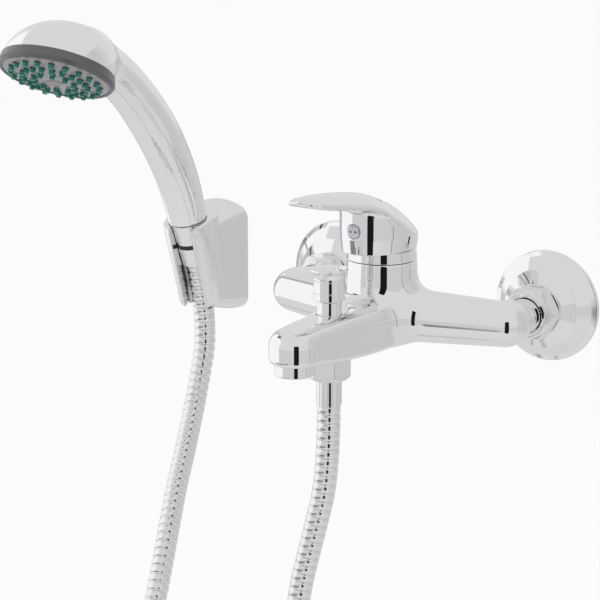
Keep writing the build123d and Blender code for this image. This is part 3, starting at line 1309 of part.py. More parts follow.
screw_heights = (-SCREW_SPACING / 2, SCREW_SPACING / 2)
keep("wall_bracket", wall_bracket())
keep("bracket_screws", *[bracket_screw(z) for z in screw_heights])
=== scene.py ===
"""Wall-mounted single-lever bath mixer with a pull-up diverter, shower hose, handset and wall bracket.

Lengths are in millimetres about the axis of the mixer's arms, as a fitter would measure them, and
settle() turns them into the frame's metres. The studio's lengths are in metres.
"""
import logging
import math
from dataclasses import dataclass, field
from enum import Enum
from functools import cache, reduce
from typing import Callable, Iterable, Sequence

import bpy
import numpy as np
from mathutils import Matrix, Vector


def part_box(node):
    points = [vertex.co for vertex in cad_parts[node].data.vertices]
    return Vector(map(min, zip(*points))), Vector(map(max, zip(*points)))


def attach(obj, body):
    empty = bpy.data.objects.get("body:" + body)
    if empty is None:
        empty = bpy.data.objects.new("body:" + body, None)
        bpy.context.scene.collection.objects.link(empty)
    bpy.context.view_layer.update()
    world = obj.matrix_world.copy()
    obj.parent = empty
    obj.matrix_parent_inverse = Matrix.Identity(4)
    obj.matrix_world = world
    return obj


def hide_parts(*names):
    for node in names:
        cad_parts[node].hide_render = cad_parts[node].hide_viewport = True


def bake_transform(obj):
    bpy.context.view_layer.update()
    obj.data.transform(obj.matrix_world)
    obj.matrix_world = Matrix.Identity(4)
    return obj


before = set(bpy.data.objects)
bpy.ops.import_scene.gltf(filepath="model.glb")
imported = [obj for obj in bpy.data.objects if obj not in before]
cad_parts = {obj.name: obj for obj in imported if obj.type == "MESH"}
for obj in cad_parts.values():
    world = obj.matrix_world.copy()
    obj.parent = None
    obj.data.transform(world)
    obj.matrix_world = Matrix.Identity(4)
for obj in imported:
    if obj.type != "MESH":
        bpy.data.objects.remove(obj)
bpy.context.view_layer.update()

log = logging.getLogger("bath_mixer")

RISE = 8.0              # the arms' axis lies this far above the wall threads
WALL_AXIS_X = 75.0      # half the spacing of the inlets
COLUMN_Y = -73.5
DIVERTER_Y = -131.0
NOSE_Y = -167.0
FIXED = "fixed_parts"   # the body that the wall holds
FULL_TURN = 2 * math.pi

Array = np.ndarray
Field = Callable[[Array, Array, Array], Array]
Triple = tuple[float, float, float]
Outline = Sequence[Sequence[float]]
Socket = bpy.types.NodeSocket


# Small mathematics shared by all pieces
def merged(a: Array, b: Array, soft: float | Array) -> Array:
    """Join two fields with a fillet of the given width."""
    h = np.clip(0.5 + 0.5 * (b - a) / soft, 0.0, 1.0)
    return b * (1 - h) + a * h - soft * h * (1 - h)


def common(a: Array, b: Array, soft: float) -> Array:
    """Keep what two fields share, with a rounded edge of the given width."""
    return -merged(-a, -b, soft)


def trimmed(a: Array, soft: float, *limits: Array) -> Array:
    """Keep what a field shares with each of the others in turn, with edges of one width."""
    return reduce(lambda kept, limit: common(kept, limit, soft), limits, a)


def without(a: Array, b: Array, soft: float = 0.4) -> Array:
    """Cut the second field from the first, with a slightly rounded edge."""
    return common(a, -b, soft)


def together(parts: Iterable[Array]) -> Array:
    """Join fields with sharp seams."""
    return reduce(np.minimum, parts)


def smooth_between(x: Array, places: Sequence[float], values: Sequence[float]) -> Array:
    """Interpolate with a smooth cubic through the given values.

    Args:
        x: where to read the curve.
        places: rising places of the values.
        values: the values there.

    Returns:
        The curve's height at x, held level beyond its ends.
    """
    px, py = np.asarray(places, float), np.asarray(values, float)
    slope = np.gradient(py, px)
    x = np.clip(x, px[0], px[-1])
    i = np.clip(np.searchsorted(px, x, side="right") - 1, 0, len(px) - 2)
    width = px[i + 1] - px[i]
    t = (x - px[i]) / width
    return ((2 * t ** 3 - 3 * t ** 2 + 1) * py[i] + (t ** 3 - 2 * t ** 2 + t) * width * slope[i]
            + (3 * t ** 2 - 2 * t ** 3) * py[i + 1] + (t ** 3 - t ** 2) * width * slope[i + 1])


def read_table(x: Array, table: Outline) -> list[Array]:
    """Read each column of a table, whose rows begin with their place, as a smooth curve."""
    places, *columns = zip(*table)
    return [smooth_between(x, places, column) for column in columns]


def cone_along(x: Array, y: Array, z: Array, start: Sequence[float], end: Sequence[float],
               start_radius: float, end_radius: float) -> Array:
    """The field of a round bar with round ends and a changing radius.

    Args:
        x, y, z: where to read the field.
        start: the bar's first point.
        end: its last point.
        start_radius: its radius at the first point.
        end_radius: its radius at the last point.

    Returns:
        The field's values.
    """
    ax, ay, az = (end[i] - start[i] for i in range(3))
    dx, dy, dz = x - start[0], y - start[1], z - start[2]
    t = np.clip((dx * ax + dy * ay + dz * az) / (ax * ax + ay * ay + az * az), 0, 1)
    distance = np.sqrt((dx - t * ax) ** 2 + (dy - t * ay) ** 2 + (dz - t * az) ** 2)
    return distance - (start_radius + t * (end_radius - start_radius))


def drum(radial: Array, along: Array, radius: float, low: float, high: float, soft: float = 0.3) -> Array:
    """The field of a plain drum between two heights."""
    return trimmed(radial - radius, soft, low - along, along - high)


def rounded_plate(u: Array, v: Array, half_u: Array, half_v: Array, corner: float | Array) -> Array:
    """The field of a rectangle with round corners."""
    a, b = np.abs(u) - (half_u - corner), np.abs(v) - (half_v - corner)
    return np.hypot(np.maximum(a, 0), np.maximum(b, 0)) + np.minimum(np.maximum(a, b), 0) - corner


def hexagon_field(u: Array, v: Array, flats: float, turn: float = 0.0, soft: float = 0.7) -> Array:
    """The field of a hexagonal bar with slightly rounded corners.

    Args:
        u: places across the bar.
        v: places across it the other way.
        flats: its width across flats.
        turn: its rotation in degrees.
        soft: rounding of its corners.

    Returns:
        The field's values.
    """
    angles = [math.radians(30 + 60 * step + turn) for step in range(3)]
    first, *others = (np.abs(u * math.cos(a) + v * math.sin(a)) - flats / 2 for a in angles)
    return trimmed(first, soft, *others)


@dataclass(frozen=True)
class Place:
    """Where a piece's own axes lie: an origin in millimetres and a rotation."""

    origin: Sequence[float]
    rotation: Array

    def out(self, points: Array) -> Array:
        """Turn the piece's own points into the mixer's."""
        return points @ self.rotation.T + np.asarray(self.origin, float)

    def inward(self, x: Array, y: Array, z: Array) -> tuple[Array, ...]:
        """Turn the mixer's points into the piece's own."""
        d = np.stack([x - self.origin[0], y - self.origin[1], z - self.origin[2]], -1) @ self.rotation
        return d[..., 0], d[..., 1], d[..., 2]

    def then(self, origin: Sequence[float], rotation: Array) -> "Place":
        """The place of something held in this one."""
        return Place(self.out(np.asarray(origin, float)), self.rotation @ rotation)


def turn(degrees: float, axis: str) -> Array:
    """Rotation about one axis."""
    return np.array(Matrix.Rotation(math.radians(degrees), 3, axis))


UPRIGHT = np.eye(3)
FROM_WALL = turn(90, "X")      # the piece's Z points out of the wall
COLUMN = Place((0, COLUMN_Y, 0), UPRIGHT)
CRADLE = Place((-171.0, -38.5, 30.0), turn(16.5, "X"))
HANDSET = CRADLE.then((0, 0, 0), turn(6.5, "Z"))
SPRAY_FACE = HANDSET.then((0, -105.0, 148.6), turn(-45.5, "X"))


# Node building
class Value:
    """A shader socket on which sums and products can be written."""

    def __init__(self, tree: bpy.types.NodeTree, socket: Socket) -> None:
        """Keep the tree and the socket."""
        self.tree, self.socket = tree, socket

    def _math(self, operation: str, *parts: "Value | float") -> "Value":
        """Add a Math node over the parts."""
        node = Nodes(self.tree).add("ShaderNodeMath", dict(enumerate(parts)), operation=operation)
        return Value(self.tree, node.outputs[0])

    def __add__(self, other: "Value | float") -> "Value":
        """Sum."""
        return self._math("ADD", self, other)

    def __sub__(self, other: "Value | float") -> "Value":
        """Difference."""
        return self._math("SUBTRACT", self, other)

    def __rsub__(self, other: float) -> "Value":
        """Reflected difference."""
        return self._math("SUBTRACT", other, self)

    def __mul__(self, other: "Value | float") -> "Value":
        """Product."""
        return self._math("MULTIPLY", self, other)

    def above(self, limit: float) -> "Value":
        """One where this is above the limit, and nought elsewhere."""
        return self._math("GREATER_THAN", self, limit)

    def pingpong(self, span: float) -> "Value":
        """Fold this value up and down between nought and the span."""
        return self._math("PINGPONG", self, span)


class Nodes:
    """Adds nodes to one tree and feeds their sockets."""

    def __init__(self, tree: bpy.types.NodeTree) -> None:
        """Keep the tree."""
        self.tree = tree

    def feed(self, socket: Socket, value: object) -> None:
        """Link a socket to another one, or set its value.

        Args:
            socket: the socket to feed.
            value: a Value, a socket or a plain value.
        """
        value = value.socket if isinstance(value, Value) else value
        if isinstance(value, Socket):
            self.tree.links.new(value, socket)
        else:
            socket.default_value = value

    def add(self, kind: str, inputs: dict | None = None, **settings: object) -> bpy.types.Node:
        """Add a node.

        Args:
            kind: the node's type.
            inputs: what feeds its sockets, by name or number.
            settings: its properties, set first.

        Returns:
            The node.
        """
        node = self.tree.nodes.new(kind)
        for key, value in settings.items():
            setattr(node, key, value)
        for key, value in (inputs or {}).items():
            self.feed(node.inputs[key], value)
        return node

    def value(self, kind: str, output: str | int, inputs: dict) -> Value:
        """Add a node and take one of its outputs as a value."""
        return Value(self.tree, self.add(kind, inputs).outputs[output])

    def by_ray(self, seen: float, glossy: float) -> Value:
        """One number for the camera's rays, another for reflections and nought for the rest."""
        path = self.add("ShaderNodeLightPath")
        camera, mirror = (Value(self.tree, path.outputs[f"Is {ray} Ray"]) for ray in ("Camera", "Glossy"))
        return camera * seen + mirror * glossy


class Finisher(Nodes):
    """Builds one material's nodes."""

    def __init__(self, name: str) -> None:
        """Make the material with its shader."""
        self.material = bpy.data.materials.new(name)
        self.material.use_nodes = True
        super().__init__(self.material.node_tree)
        self.shader = self.tree.nodes["Principled BSDF"]
        self.where = self.add("ShaderNodeTexCoord").outputs["Object"]

    def noise(self, scale: float, detail: float = 2.0) -> Value:
        """A soft noise over the object's own coordinates."""
        inputs = {"Vector": self.where, "Scale": scale, "Detail": detail}
        return self.value("ShaderNodeTexNoise", "Fac", inputs)

    def axis(self, letter: str) -> Value:
        """One of the object's own coordinates, in metres."""
        return self.value("ShaderNodeSeparateXYZ", letter, {"Vector": self.where})

    def set(self, sockets: dict) -> None:
        """Set or link sockets of the shader."""
        for name, value in sockets.items():
            self.feed(self.shader.inputs[name], value)

    def mix(self, mask: Value, first: "tuple | Socket", second: "tuple | Socket") -> Socket:
        """Blend two colours by a mask."""
        return self.add("ShaderNodeMix", {0: mask, 6: first, 7: second}, data_type="RGBA").outputs[2]

    def bump(self, height: Value, depth: float) -> None:
        """Raise the surface by a height times the depth in metres."""
        self.set({"Normal": self.add("ShaderNodeBump", {"Height": height, "Distance": depth}).outputs[0]})

    def show(self, share: Value, under: bpy.types.Node, over: bpy.types.Node) -> None:
        """Show one shader over another by a share."""
        mix = self.add("ShaderNodeMixShader", {0: share, 1: under.outputs[0], 2: over.outputs[0]})
        self.feed(self.tree.nodes["Material Output"].inputs[0], mix.outputs[0])


@dataclass(frozen=True)
class Coating:
    """What metals and plastics share: a colour and a polish, both a little uneven."""

    name: str
    colour: Triple
    roughness: float

    def begin(self, tone: tuple, dip: float, dust: tuple, spread: float) -> Finisher:
        """Start the material.

        Args:
            tone: scale and detail of the colour's variation.
            dip: the darkest colour's share of the full one.
            dust: scale and detail of the polish's variation.
            spread: how far the roughness varies.

        Returns:
            The material's builder, with colour and roughness set.
        """
        kit = Finisher(self.name)
        low = (*[c * dip for c in self.colour], 1.0)
        kit.set({"Base Color": kit.mix(kit.noise(*tone), low, (*self.colour, 1.0)),
                 "Roughness": kit.noise(*dust) * spread + (self.roughness - spread / 2)})
        return kit


@dataclass(frozen=True)
class MetalFinish(Coating):
    """A metal, perhaps with a thread or a casting's waviness."""

    spread: float = 0.02
    grain: float = 260.0
    thread: float = 0.0         # pitch of a thread along Y, in metres
    ripple: float = 0.0         # depth of the casting's slow waviness, in metres

    def make(self) -> bpy.types.Material:
        """Build the material."""
        kit = self.begin((22.0, 2.0), 0.97, (self.grain, 4.0), self.spread)
        kit.set({"Metallic": 1.0})
        if self.thread:
            kit.bump(kit.axis("Y").pingpong(self.thread / 2) * (1 / self.thread), 0.0007)
        elif self.ripple:
            kit.bump(kit.noise(16.0, 1.0), self.ripple)
        return kit.material


@dataclass(frozen=True)
class PlasticFinish(Coating):
    """A moulded plastic or rubber, with the texture of its mould."""

    texture: float = 0.00002
    grain: float = 900.0
    coat: float = 0.0
    metallic: float = 0.0

    def make(self) -> bpy.types.Material:
        """Build the material."""
        kit = self.begin((35.0, 3.0), 0.9, (self.grain / 4, 2.0), 0.08)
        kit.set({"Metallic": self.metallic, "Coat Weight": self.coat})
        kit.bump(kit.noise(self.grain, 3.0), self.texture)
        return kit.material


@dataclass(frozen=True)
class MarkFinish:
    """The button in the lever's nose: a pale face with a red and a blue dot side by side."""

    name: str = "hot_cold_button"
    height: float = 56.0        # the dots' height, in millimetres like the pieces' lengths
    aside: float = 0.0017       # their distance from the middle, in metres
    radius: float = 0.0008
    face: tuple = (0.66, 0.68, 0.71, 1)
    red: tuple = (0.42, 0.05, 0.05, 1)
    blue: tuple = (0.06, 0.13, 0.36, 1)

    def make(self) -> bpy.types.Material:
        """Build the material."""
        kit = Finisher(self.name)
        across, up = kit.axis("X"), kit.axis("Z") - (self.height + RISE) / 1000
        aside = across.pingpong(1.0) - self.aside
        spot = 1.0 - (aside * aside + up * up).above(self.radius ** 2)
        side = kit.mix(across.above(0.0), self.red, self.blue)
        kit.set({"Base Color": kit.mix(spot, self.face, side), "Metallic": (1.0 - spot) * 0.7,
                 "Roughness": kit.noise(500.0) * 0.06 + 0.2, "Coat Weight": 0.3})
        return kit.material


class Finish(Enum):
    """The finishes on this object."""

    CHROME = MetalFinish("polished_chrome", (0.87, 0.875, 0.885), 0.045, 0.02, ripple=0.00004)
    CHROMED_PLASTIC = MetalFinish("chromed_plastic", (0.88, 0.885, 0.895), 0.06, 0.02)
    SATIN_CHROME = MetalFinish("bracket_chrome", (0.86, 0.865, 0.87), 0.22, 0.04)
    HOSE = MetalFinish("hose_metal", (0.83, 0.835, 0.845), 0.12, 0.04)
    BRASS = MetalFinish("turned_brass", (0.71, 0.55, 0.28), 0.24, 0.1, 400.0)
    THREADED_BRASS = MetalFinish("threaded_brass", (0.71, 0.55, 0.28), 0.26, 0.1, 400.0, thread=0.0018)
    STEEL = MetalFinish("stainless_steel", (0.56, 0.57, 0.585), 0.26, 0.1, 500.0)
    RUBBER = PlasticFinish("black_rubber", (0.022, 0.022, 0.025), 0.55, 0.00003)
    BAND = PlasticFinish("black_band", (0.012, 0.012, 0.014), 0.3, 0.00001)
    NOZZLE = PlasticFinish("teal_silicone", (0.02, 0.25, 0.2), 0.36, 0.00001, 700.0)
    SPRAY = PlasticFinish("spray_plate_grey", (0.4, 0.375, 0.385), 0.3, 0.00001, 800.0, 0.3)
    TRIM = PlasticFinish("trim_ring_grey", (0.15, 0.153, 0.158), 0.34, 0.000005, 600.0, 0.2, 0.6)
    CERAMIC = PlasticFinish("white_ceramic", (0.82, 0.81, 0.78), 0.15, 0.000005)
    CARTRIDGE = PlasticFinish("cartridge_plastic", (0.55, 0.56, 0.58), 0.42)
    WHITE = PlasticFinish("white_plastic", (0.78, 0.78, 0.76), 0.4)
    MARK = MarkFinish()


@cache
def material_of(finish: Finish) -> bpy.types.Material:
    """The material of a finish, made once."""
    return finish.value.make()


# Mesh building
def linked(name: str, data: bpy.types.ID) -> bpy.types.Object:
    """Make an object and link it to the scene."""
    made = bpy.data.objects.new(name, data)
    bpy.context.scene.collection.objects.link(made)
    return made


def settle(name: str, points: Array, faces: Sequence[Sequence[int]], finish: Finish,
           normals: Array | None = None) -> bpy.types.Object:
    """Make an object of millimetre points, at its place in the frame.

    Args:
        name: the piece's name.
        points: its points about the arms' axis, in millimetres.
        faces: its faces as point numbers, seen from outside in counter-clockwise order.
        finish: its finish.
        normals: the smooth surface's directions at the points, if known.

    Returns:
        The object, at the origin.
    """
    mesh = bpy.data.meshes.new(name)
    placed = (np.asarray(points, float) + (0.0, 0.0, RISE)) / 1000.0
    mesh.from_pydata(placed.tolist(), [], [list(map(int, f)) for f in faces])
    mesh.update()
    mesh.shade_smooth()
    if normals is not None:
        mesh.normals_split_custom_set_from_vertices(normals.tolist())
    mesh.materials.append(material_of(finish))
    log.info("%s: %d faces", name, len(mesh.polygons))
    return linked(name, mesh)


def carried(piece: bpy.types.Object, body: str, slot: str, *nodes: str) -> None:
    """Let a piece ride on its body.

    Args:
        piece: the piece.
        body: the body that carries it.
        slot: the name of its material slot; not used.
        nodes: the CAD nodes that it stands for, if any.
    """
    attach(piece, body)
    if nodes:
        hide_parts(*nodes)


def skin(form: Field, low: Array, high: Array, cell: float) -> tuple[Array, ...]:
    """Mesh the surface on which a form's field is nought.

    The field is read coarsely at first, and finely only near the surface. Each cell that the surface
    crosses gets one point, and each crossed edge of the grid a quad between its four cells.

    Args:
        form: the field, negative inside.
        low: lowest corner of the box that holds the form, in millimetres.
        high: highest corner.
        cell: size of the grid's cells.

    Returns:
        Points, quads and the surface's directions at the points.
    """
    low, high = low - 2 * cell, high + 2 * cell
    block = 6       # cells along one coarse step
    counts = (np.ceil((high - low) / cell / block).astype(int)) * block
    axes = [low[i] + cell * np.arange(counts[i]) for i in range(3)]
    rough = form(*np.meshgrid(*(a.reshape(-1, block).mean(1) for a in axes), indexing="ij"))
    grid, mask = (values.repeat(block, 0).repeat(block, 1).repeat(block, 2)
                  for values in (rough, np.abs(rough) < cell * block * 1.5))
    i, j, k = np.nonzero(mask)
    grid[mask] = form(axes[0][i], axes[1][j], axes[2][k])
    inside = grid < 0
    nx, ny, nz = (n - 1 for n in inside.shape)
    corners = sum(inside[a:a + nx, b:b + ny, c:c + nz].astype(np.int8)
                  for a in (0, 1) for b in (0, 1) for c in (0, 1))
    active = (corners > 0) & (corners < 8)
    number = np.full(active.shape, -1)
    cells = np.argwhere(active)
    number[active] = np.arange(len(cells))
    steps = np.eye(3, dtype=int)
    quads = []
    for axis in range(3):
        ends = inside.shape[axis]
        here, there = inside.take(range(ends - 1), axis), inside.take(range(1, ends), axis)
        step_b, step_c = steps[(axis + 1) % 3], steps[(axis + 2) % 3]
        for sign in (True, False):
            at = np.argwhere((here == sign) & (there != sign))
            around = [at - step_b - step_c, at - step_c, at, at - step_b]
            if not sign:
                around.reverse()
            quads.append(np.stack([number[tuple(a.T)] for a in around], 1))
    faces = np.concatenate(quads)
    points, normals = drawn_to_surface(form, low + (cells + 0.5) * cell, 4)
    for _ in range(2):
        points, normals = drawn_to_surface(form, relaxed(points, normals, faces), 3)
    return points, faces, normals


def slopes(form: Field, points: Array, step: float = 0.03) -> Array:
    """The field's slope, by central differences.

    Args:
        form: the field.
        points: where to read it.
        step: half the difference's length, in millimetres.

    Returns:
        One slope for each point.
    """
    result = np.empty_like(points)
    for axis in range(3):
        shift = np.zeros(3)
        shift[axis] = step
        result[:, axis] = (form(*(points + shift).T) - form(*(points - shift).T)) / (2 * step)
    return result


def drawn_to_surface(form: Field, points: Array, rounds: int) -> tuple[Array, Array]:
    """Move points along the slope onto the surface.

    Args:
        form: the field.
        points: points near its surface.
        rounds: how many steps to take, each at most 0.8 mm long.

    Returns:
        The moved points and the surface's directions there.
    """
    tiny = 1e-9
    for _ in range(rounds):
        slope = slopes(form, points)
        size = np.maximum((slope ** 2).sum(1), 0.05)
        move = slope * (form(*points.T) / size)[:, None]
        length = np.linalg.norm(move, axis=1, keepdims=True)
        points = points - move * np.minimum(1.0, 0.8 / np.maximum(length, tiny))
    slope = slopes(form, points)
    return points, slope / np.maximum(np.linalg.norm(slope, axis=1, keepdims=True), tiny)


def relaxed(points: Array, normals: Array, faces: Array) -> Array:
    """Even out the points within the surface.

    Args:
        points: the mesh's points.
        normals: the surface's directions there.
        faces: the mesh's quads.

    Returns:
        The moved points.
    """
    total, count = np.zeros_like(points), np.zeros(len(points))
    for a, b in ((0, 1), (1, 2), (2, 3), (3, 0)):
        for first, second in ((a, b), (b, a)):
            for axis in range(3):
                total[:, axis] += np.bincount(faces[:, first], points[faces[:, second], axis], len(points))
            count += np.bincount(faces[:, first], minlength=len(points))
    move = total / np.maximum(count, 1)[:, None] - points
    move -= normals * (move * normals).sum(1, keepdims=True)
    return points + 0.6 * move


def carved(name: str, form: Field, node: str, cell: float, finish: Finish) -> bpy.types.Object:
    """Make a piece from a form's field.

    Args:
        name: the piece's name.
        form: its field.
        node: the CAD node that it stands for, whose box holds it.
        cell: size of the mesh's cells, in millimetres.
        finish: its finish.

    Returns:
        The object.
    """
    low, high = (np.array(corner) * 1000 - (0, 0, RISE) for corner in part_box(node))
    points, faces, normals = skin(form, low - 1.5, high + 1.5, cell)
    return settle(name, points, faces, finish, normals)


def softened(outline: Outline, radius: float, closed: bool = True) -> list[tuple[float, float]]:
    """Round each corner of an outline, with a support point beside each round.

    Args:
        outline: (radius, height) corners; a third number gives a corner's own rounding.
        radius: rounding of the others.
        closed: whether the last corner joins the first.

    Returns:
        The rounded outline's points.
    """
    result: list[tuple[float, float]] = []
    count, arc_steps = len(outline), 6
    for i, corner in enumerate(outline):
        here = Vector(corner[:2])
        if not closed and i in (0, count - 1):
            result.append(tuple(here))
            continue
        before, after = (Vector(outline[(i + way) % count][:2]) - here for way in (-1, 1))
        size = corner[2] if len(corner) > 2 else radius
        angle = before.angle(after)
        reach = min(size / math.tan(angle / 2), 0.45 * before.length, 0.45 * after.length)
        if reach < 0.01 or abs(angle - math.pi) < 0.03:
            result.append(tuple(here))
            continue
        start, end = here + before.normalized() * reach, here + after.normalized() * reach
        support = min(0.12, 0.1 * before.length, 0.1 * after.length)
        result.append(tuple(start + before.normalized() * support))
        for step in range(arc_steps + 1):
            t = step / arc_steps
            result.append(tuple(start * (1 - t) ** 2 + here * (2 * t * (1 - t)) + end * t ** 2))
        result.append(tuple(end + after.normalized() * support))
    return result


def bands(rows: Sequence[Sequence[int]]) -> list[list[int]]:
    """Join neighbouring rings of points by faces.

    Args:
        rows: each ring's point numbers; one number repeated is a pole.

    Returns:
        The faces, as point numbers.
    """
    faces = []
    for low, high in zip(rows, rows[1:]):
        for s in range(len(low)):
            n = (s + 1) % len(low)
            face = list(dict.fromkeys((low[s], low[n], high[n], high[s])))
            if len(face) > 2:
                faces.append(face)
    return faces


def turned(name: str, outline: Outline, place: Place, finish: Finish,
           radius: float = 0.4, closed: bool = True, sides: int = 128) -> bpy.types.Object:
    """Make a piece on the lathe.

    Args:
        name: the piece's name.
        outline: (radius, height) corners, with the material on the left when going round.
        place: where its axis lies.
        finish: its finish.
        radius: rounding of its edges.
        closed: False where the outline starts and ends on the axis.
        sides: points round the axis.

    Returns:
        The object.
    """
    angles = np.linspace(0, FULL_TURN, sides, endpoint=False)
    points, numbers = [], []
    total = 0
    for reach, height in np.array(softened(outline, radius, closed)):
        if reach < 1e-6:
            points.append(np.array([[0.0, 0.0, height]]))
            numbers.append([total] * sides)
        else:
            points.append(np.stack([reach * np.cos(angles), reach * np.sin(angles), 0 * angles + height], 1))
            numbers.append(range(total, total + sides))
        total += len(points[-1])
    if closed:
        numbers.append(numbers[0])
    return settle(name, place.out(np.concatenate(points)), bands(numbers), finish)


@dataclass
class WallConnections:
    """Flanges and union nuts at the two inlets."""

    rim: float = 34.3
    rim_height: float = 2.8
    dome_end: float = 15.8
    dome_steps: int = 29
    flange_inside: tuple = (    # from the top of the dome back to the wall
        (15.6, 16.2, 0.8), (13.28, 16.2), (13.28, 14.8), (15.6, 14.8), (24.3, 11.2), (32.9, 2.4), (32.9, 0.0))
    thread_radius: float = 13.28
    nut_flats: float = 30.0
    nut_back: float = 17.0
    nut_hex: float = 11.6
    nut_length: float = 14.0
    nut_hole: float = 11.1

    def flange(self, side: str, x: float) -> None:
        """Turn one flange: a nearly straight cone that rises steeply at its collar."""
        outline = [(self.rim, 0.0), (self.rim, self.rim_height, 0.6)]
        for step in range(1, self.dome_steps + 1):
            t = math.sin(step / (self.dome_steps + 1) * math.pi / 2)
            reach = self.rim - (self.rim - self.dome_end) * t
            outline.append((reach, self.rim_height + 8.0 * t + 5.4 * t ** 20))
        outline += self.flange_inside
        piece = turned(f"flange_{side}", outline, Place((x, 0, 0), FROM_WALL), Finish.CHROME, 0.3, sides=160)
        carried(piece, FIXED, "chrome", f"wall_flange_{side}")

    def nut(self, side: str, x: float) -> None:
        """Carve one union nut with its chamfers and its front collar."""
        def form(px: Array, py: Array, pz: Array) -> Array:
            """The nut's field."""
            u, along = px - x, -py - self.nut_back
            radial = np.hypot(u, pz)
            hexagonal = trimmed(hexagon_field(u, pz, self.nut_flats), 0.5, along - self.nut_hex,
                                (radial - 16.2 + (along - self.nut_hex) * 0.75) * 0.8,
                                (radial - 15.9 - along * 0.9) * 0.74)
            collar = drum(radial, along, self.nut_flats / 2 - 0.6, 1.0, self.nut_length, 1.2)
            bore = np.minimum(drum(radial, along, self.thread_radius, -2.0, 11.0),
                              drum(radial, along, self.nut_hole, 5.0, 20.0))
            return without(common(merged(hexagonal, collar, 0.6), -along, 0.3), bore)

        node = f"union_nut_{side}"
        carried(carved(f"{node}_cover", form, node, 0.55, Finish.CHROME), FIXED, "chrome", node)

    def build(self) -> None:
        """Build both sides."""
        for side, x in (("hot", -WALL_AXIS_X), ("cold", WALL_AXIS_X)):
            self.flange(side, x)
            self.nut(side, x)


@dataclass
class MixerBody:
    """The cast body: column, arms, necks, spout and shower outlet."""

    elbow_y: float = -55.0
    elbow_radius: float = 13.5
    arm_radius: float = 16.8
    neck_radius: float = 10.7
    neck_end: float = 44.5
    neck_start: float = 28.1
    column_top: float = 34.6
    column_bottom: float = -16.0
    column_radii: tuple = (     # height and radius
        (-16, 23.0), (-8, 23.6), (0, 23.4), (8, 22.7), (16, 22.1), (24, 21.7), (34.6, 21.2))
    spout: tuple = (    # Y, half width, bottom and top
        (-170.0, 14.8, -8.5, 11.1), (-167.0, 14.8, -8.5, 11.2), (-150.0, 16.2, -10.8, 12.0),
        (-131.0, 17.5, -13.0, 12.4), (-105.0, 18.9, -14.8, 12.6), (-73.5, 20.0, -15.4, 13.4))
    bores: tuple = (    # Y, radius, bottom and top: cartridge, diverter and its outlet, aerator
        (COLUMN_Y, 17.8, 3.0, 24.0), (COLUMN_Y, 19.2, 22.0, 40.0),
        (DIVERTER_Y, 8.0, -9.0, -0.5), (DIVERTER_Y, 5.5, -2.0, 2.0),
        (DIVERTER_Y, 6.6, 1.0, 8.0), (DIVERTER_Y, 7.56, 7.2, 20.0),
        (DIVERTER_Y, 5.0, -30.0, -7.0), (NOSE_Y, 11.06, -20.0, 0.0))

    def column(self, x: Array, y: Array, z: Array) -> Array:
        """The column's field."""
        radius, = read_table(z, self.column_radii)
        wall = np.hypot(x, y - COLUMN_Y) - radius
        return common(common(wall, self.column_bottom - z, 9.0), z - self.column_top, 0.7)

    def arms(self, x: Array, y: Array, z: Array) -> Array:
        """The field of both arms with their elbows and necks."""
        side = np.abs(x)
        arm = cone_along(side, y, z, (WALL_AXIS_X, self.elbow_y, 0), (0, COLUMN_Y + 2.5, 0),
                         self.elbow_radius, self.arm_radius)
        radial = np.hypot(side - WALL_AXIS_X, z)
        sleeve = drum(radial, -y, self.elbow_radius - 0.1, self.neck_end, -self.elbow_y, 4.0)
        neck = drum(radial, -y, self.neck_radius, self.neck_start, -self.elbow_y, 0.4)
        return merged(merged(arm, sleeve, 1.0), neck, 1.0)

    def spout_field(self, x: Array, y: Array, z: Array) -> Array:
        """The spout's field, with its round nose."""
        half, low, high = read_table(y, self.spout)
        reach = np.hypot(x, np.minimum(y - NOSE_Y, 0))
        middle, depth = (low + high) / 2, (high - low) / 2
        corner = np.where(z > middle, np.minimum(12.0, depth - 0.1), 3.0)
        return common(rounded_plate(reach, z - middle, half, depth, corner), y - COLUMN_Y, 1.0)

    def form(self, x: Array, y: Array, z: Array) -> Array:
        """The whole body's field."""
        fillet = np.clip((z + 14.0) / 12.0, 0, 1)
        solid = merged(self.column(x, y, z), self.arms(x, y, z), 3.5 + 7.5 * fillet)
        solid = merged(solid, self.spout_field(x, y, z), 3.5 + 5.5 * fillet)
        diverter = np.hypot(x, y - DIVERTER_Y)
        solid = without(solid, drum(diverter, z, 13.88, -40.0, -13.0), 0.5)
        solid = np.minimum(solid, drum(diverter, z, 10.4, -20.0, -5.0))
        solid = common(solid, z - self.column_top, 0.7)
        return without(solid, together(drum(np.hypot(x, y - at), z, *size) for at, *size in self.bores))

    def build(self) -> None:
        """Carve the body."""
        piece = carved("mixer_casting", self.form, "mixer_body", 0.95, Finish.CHROME)
        carried(piece, FIXED, "chrome", "mixer_body")


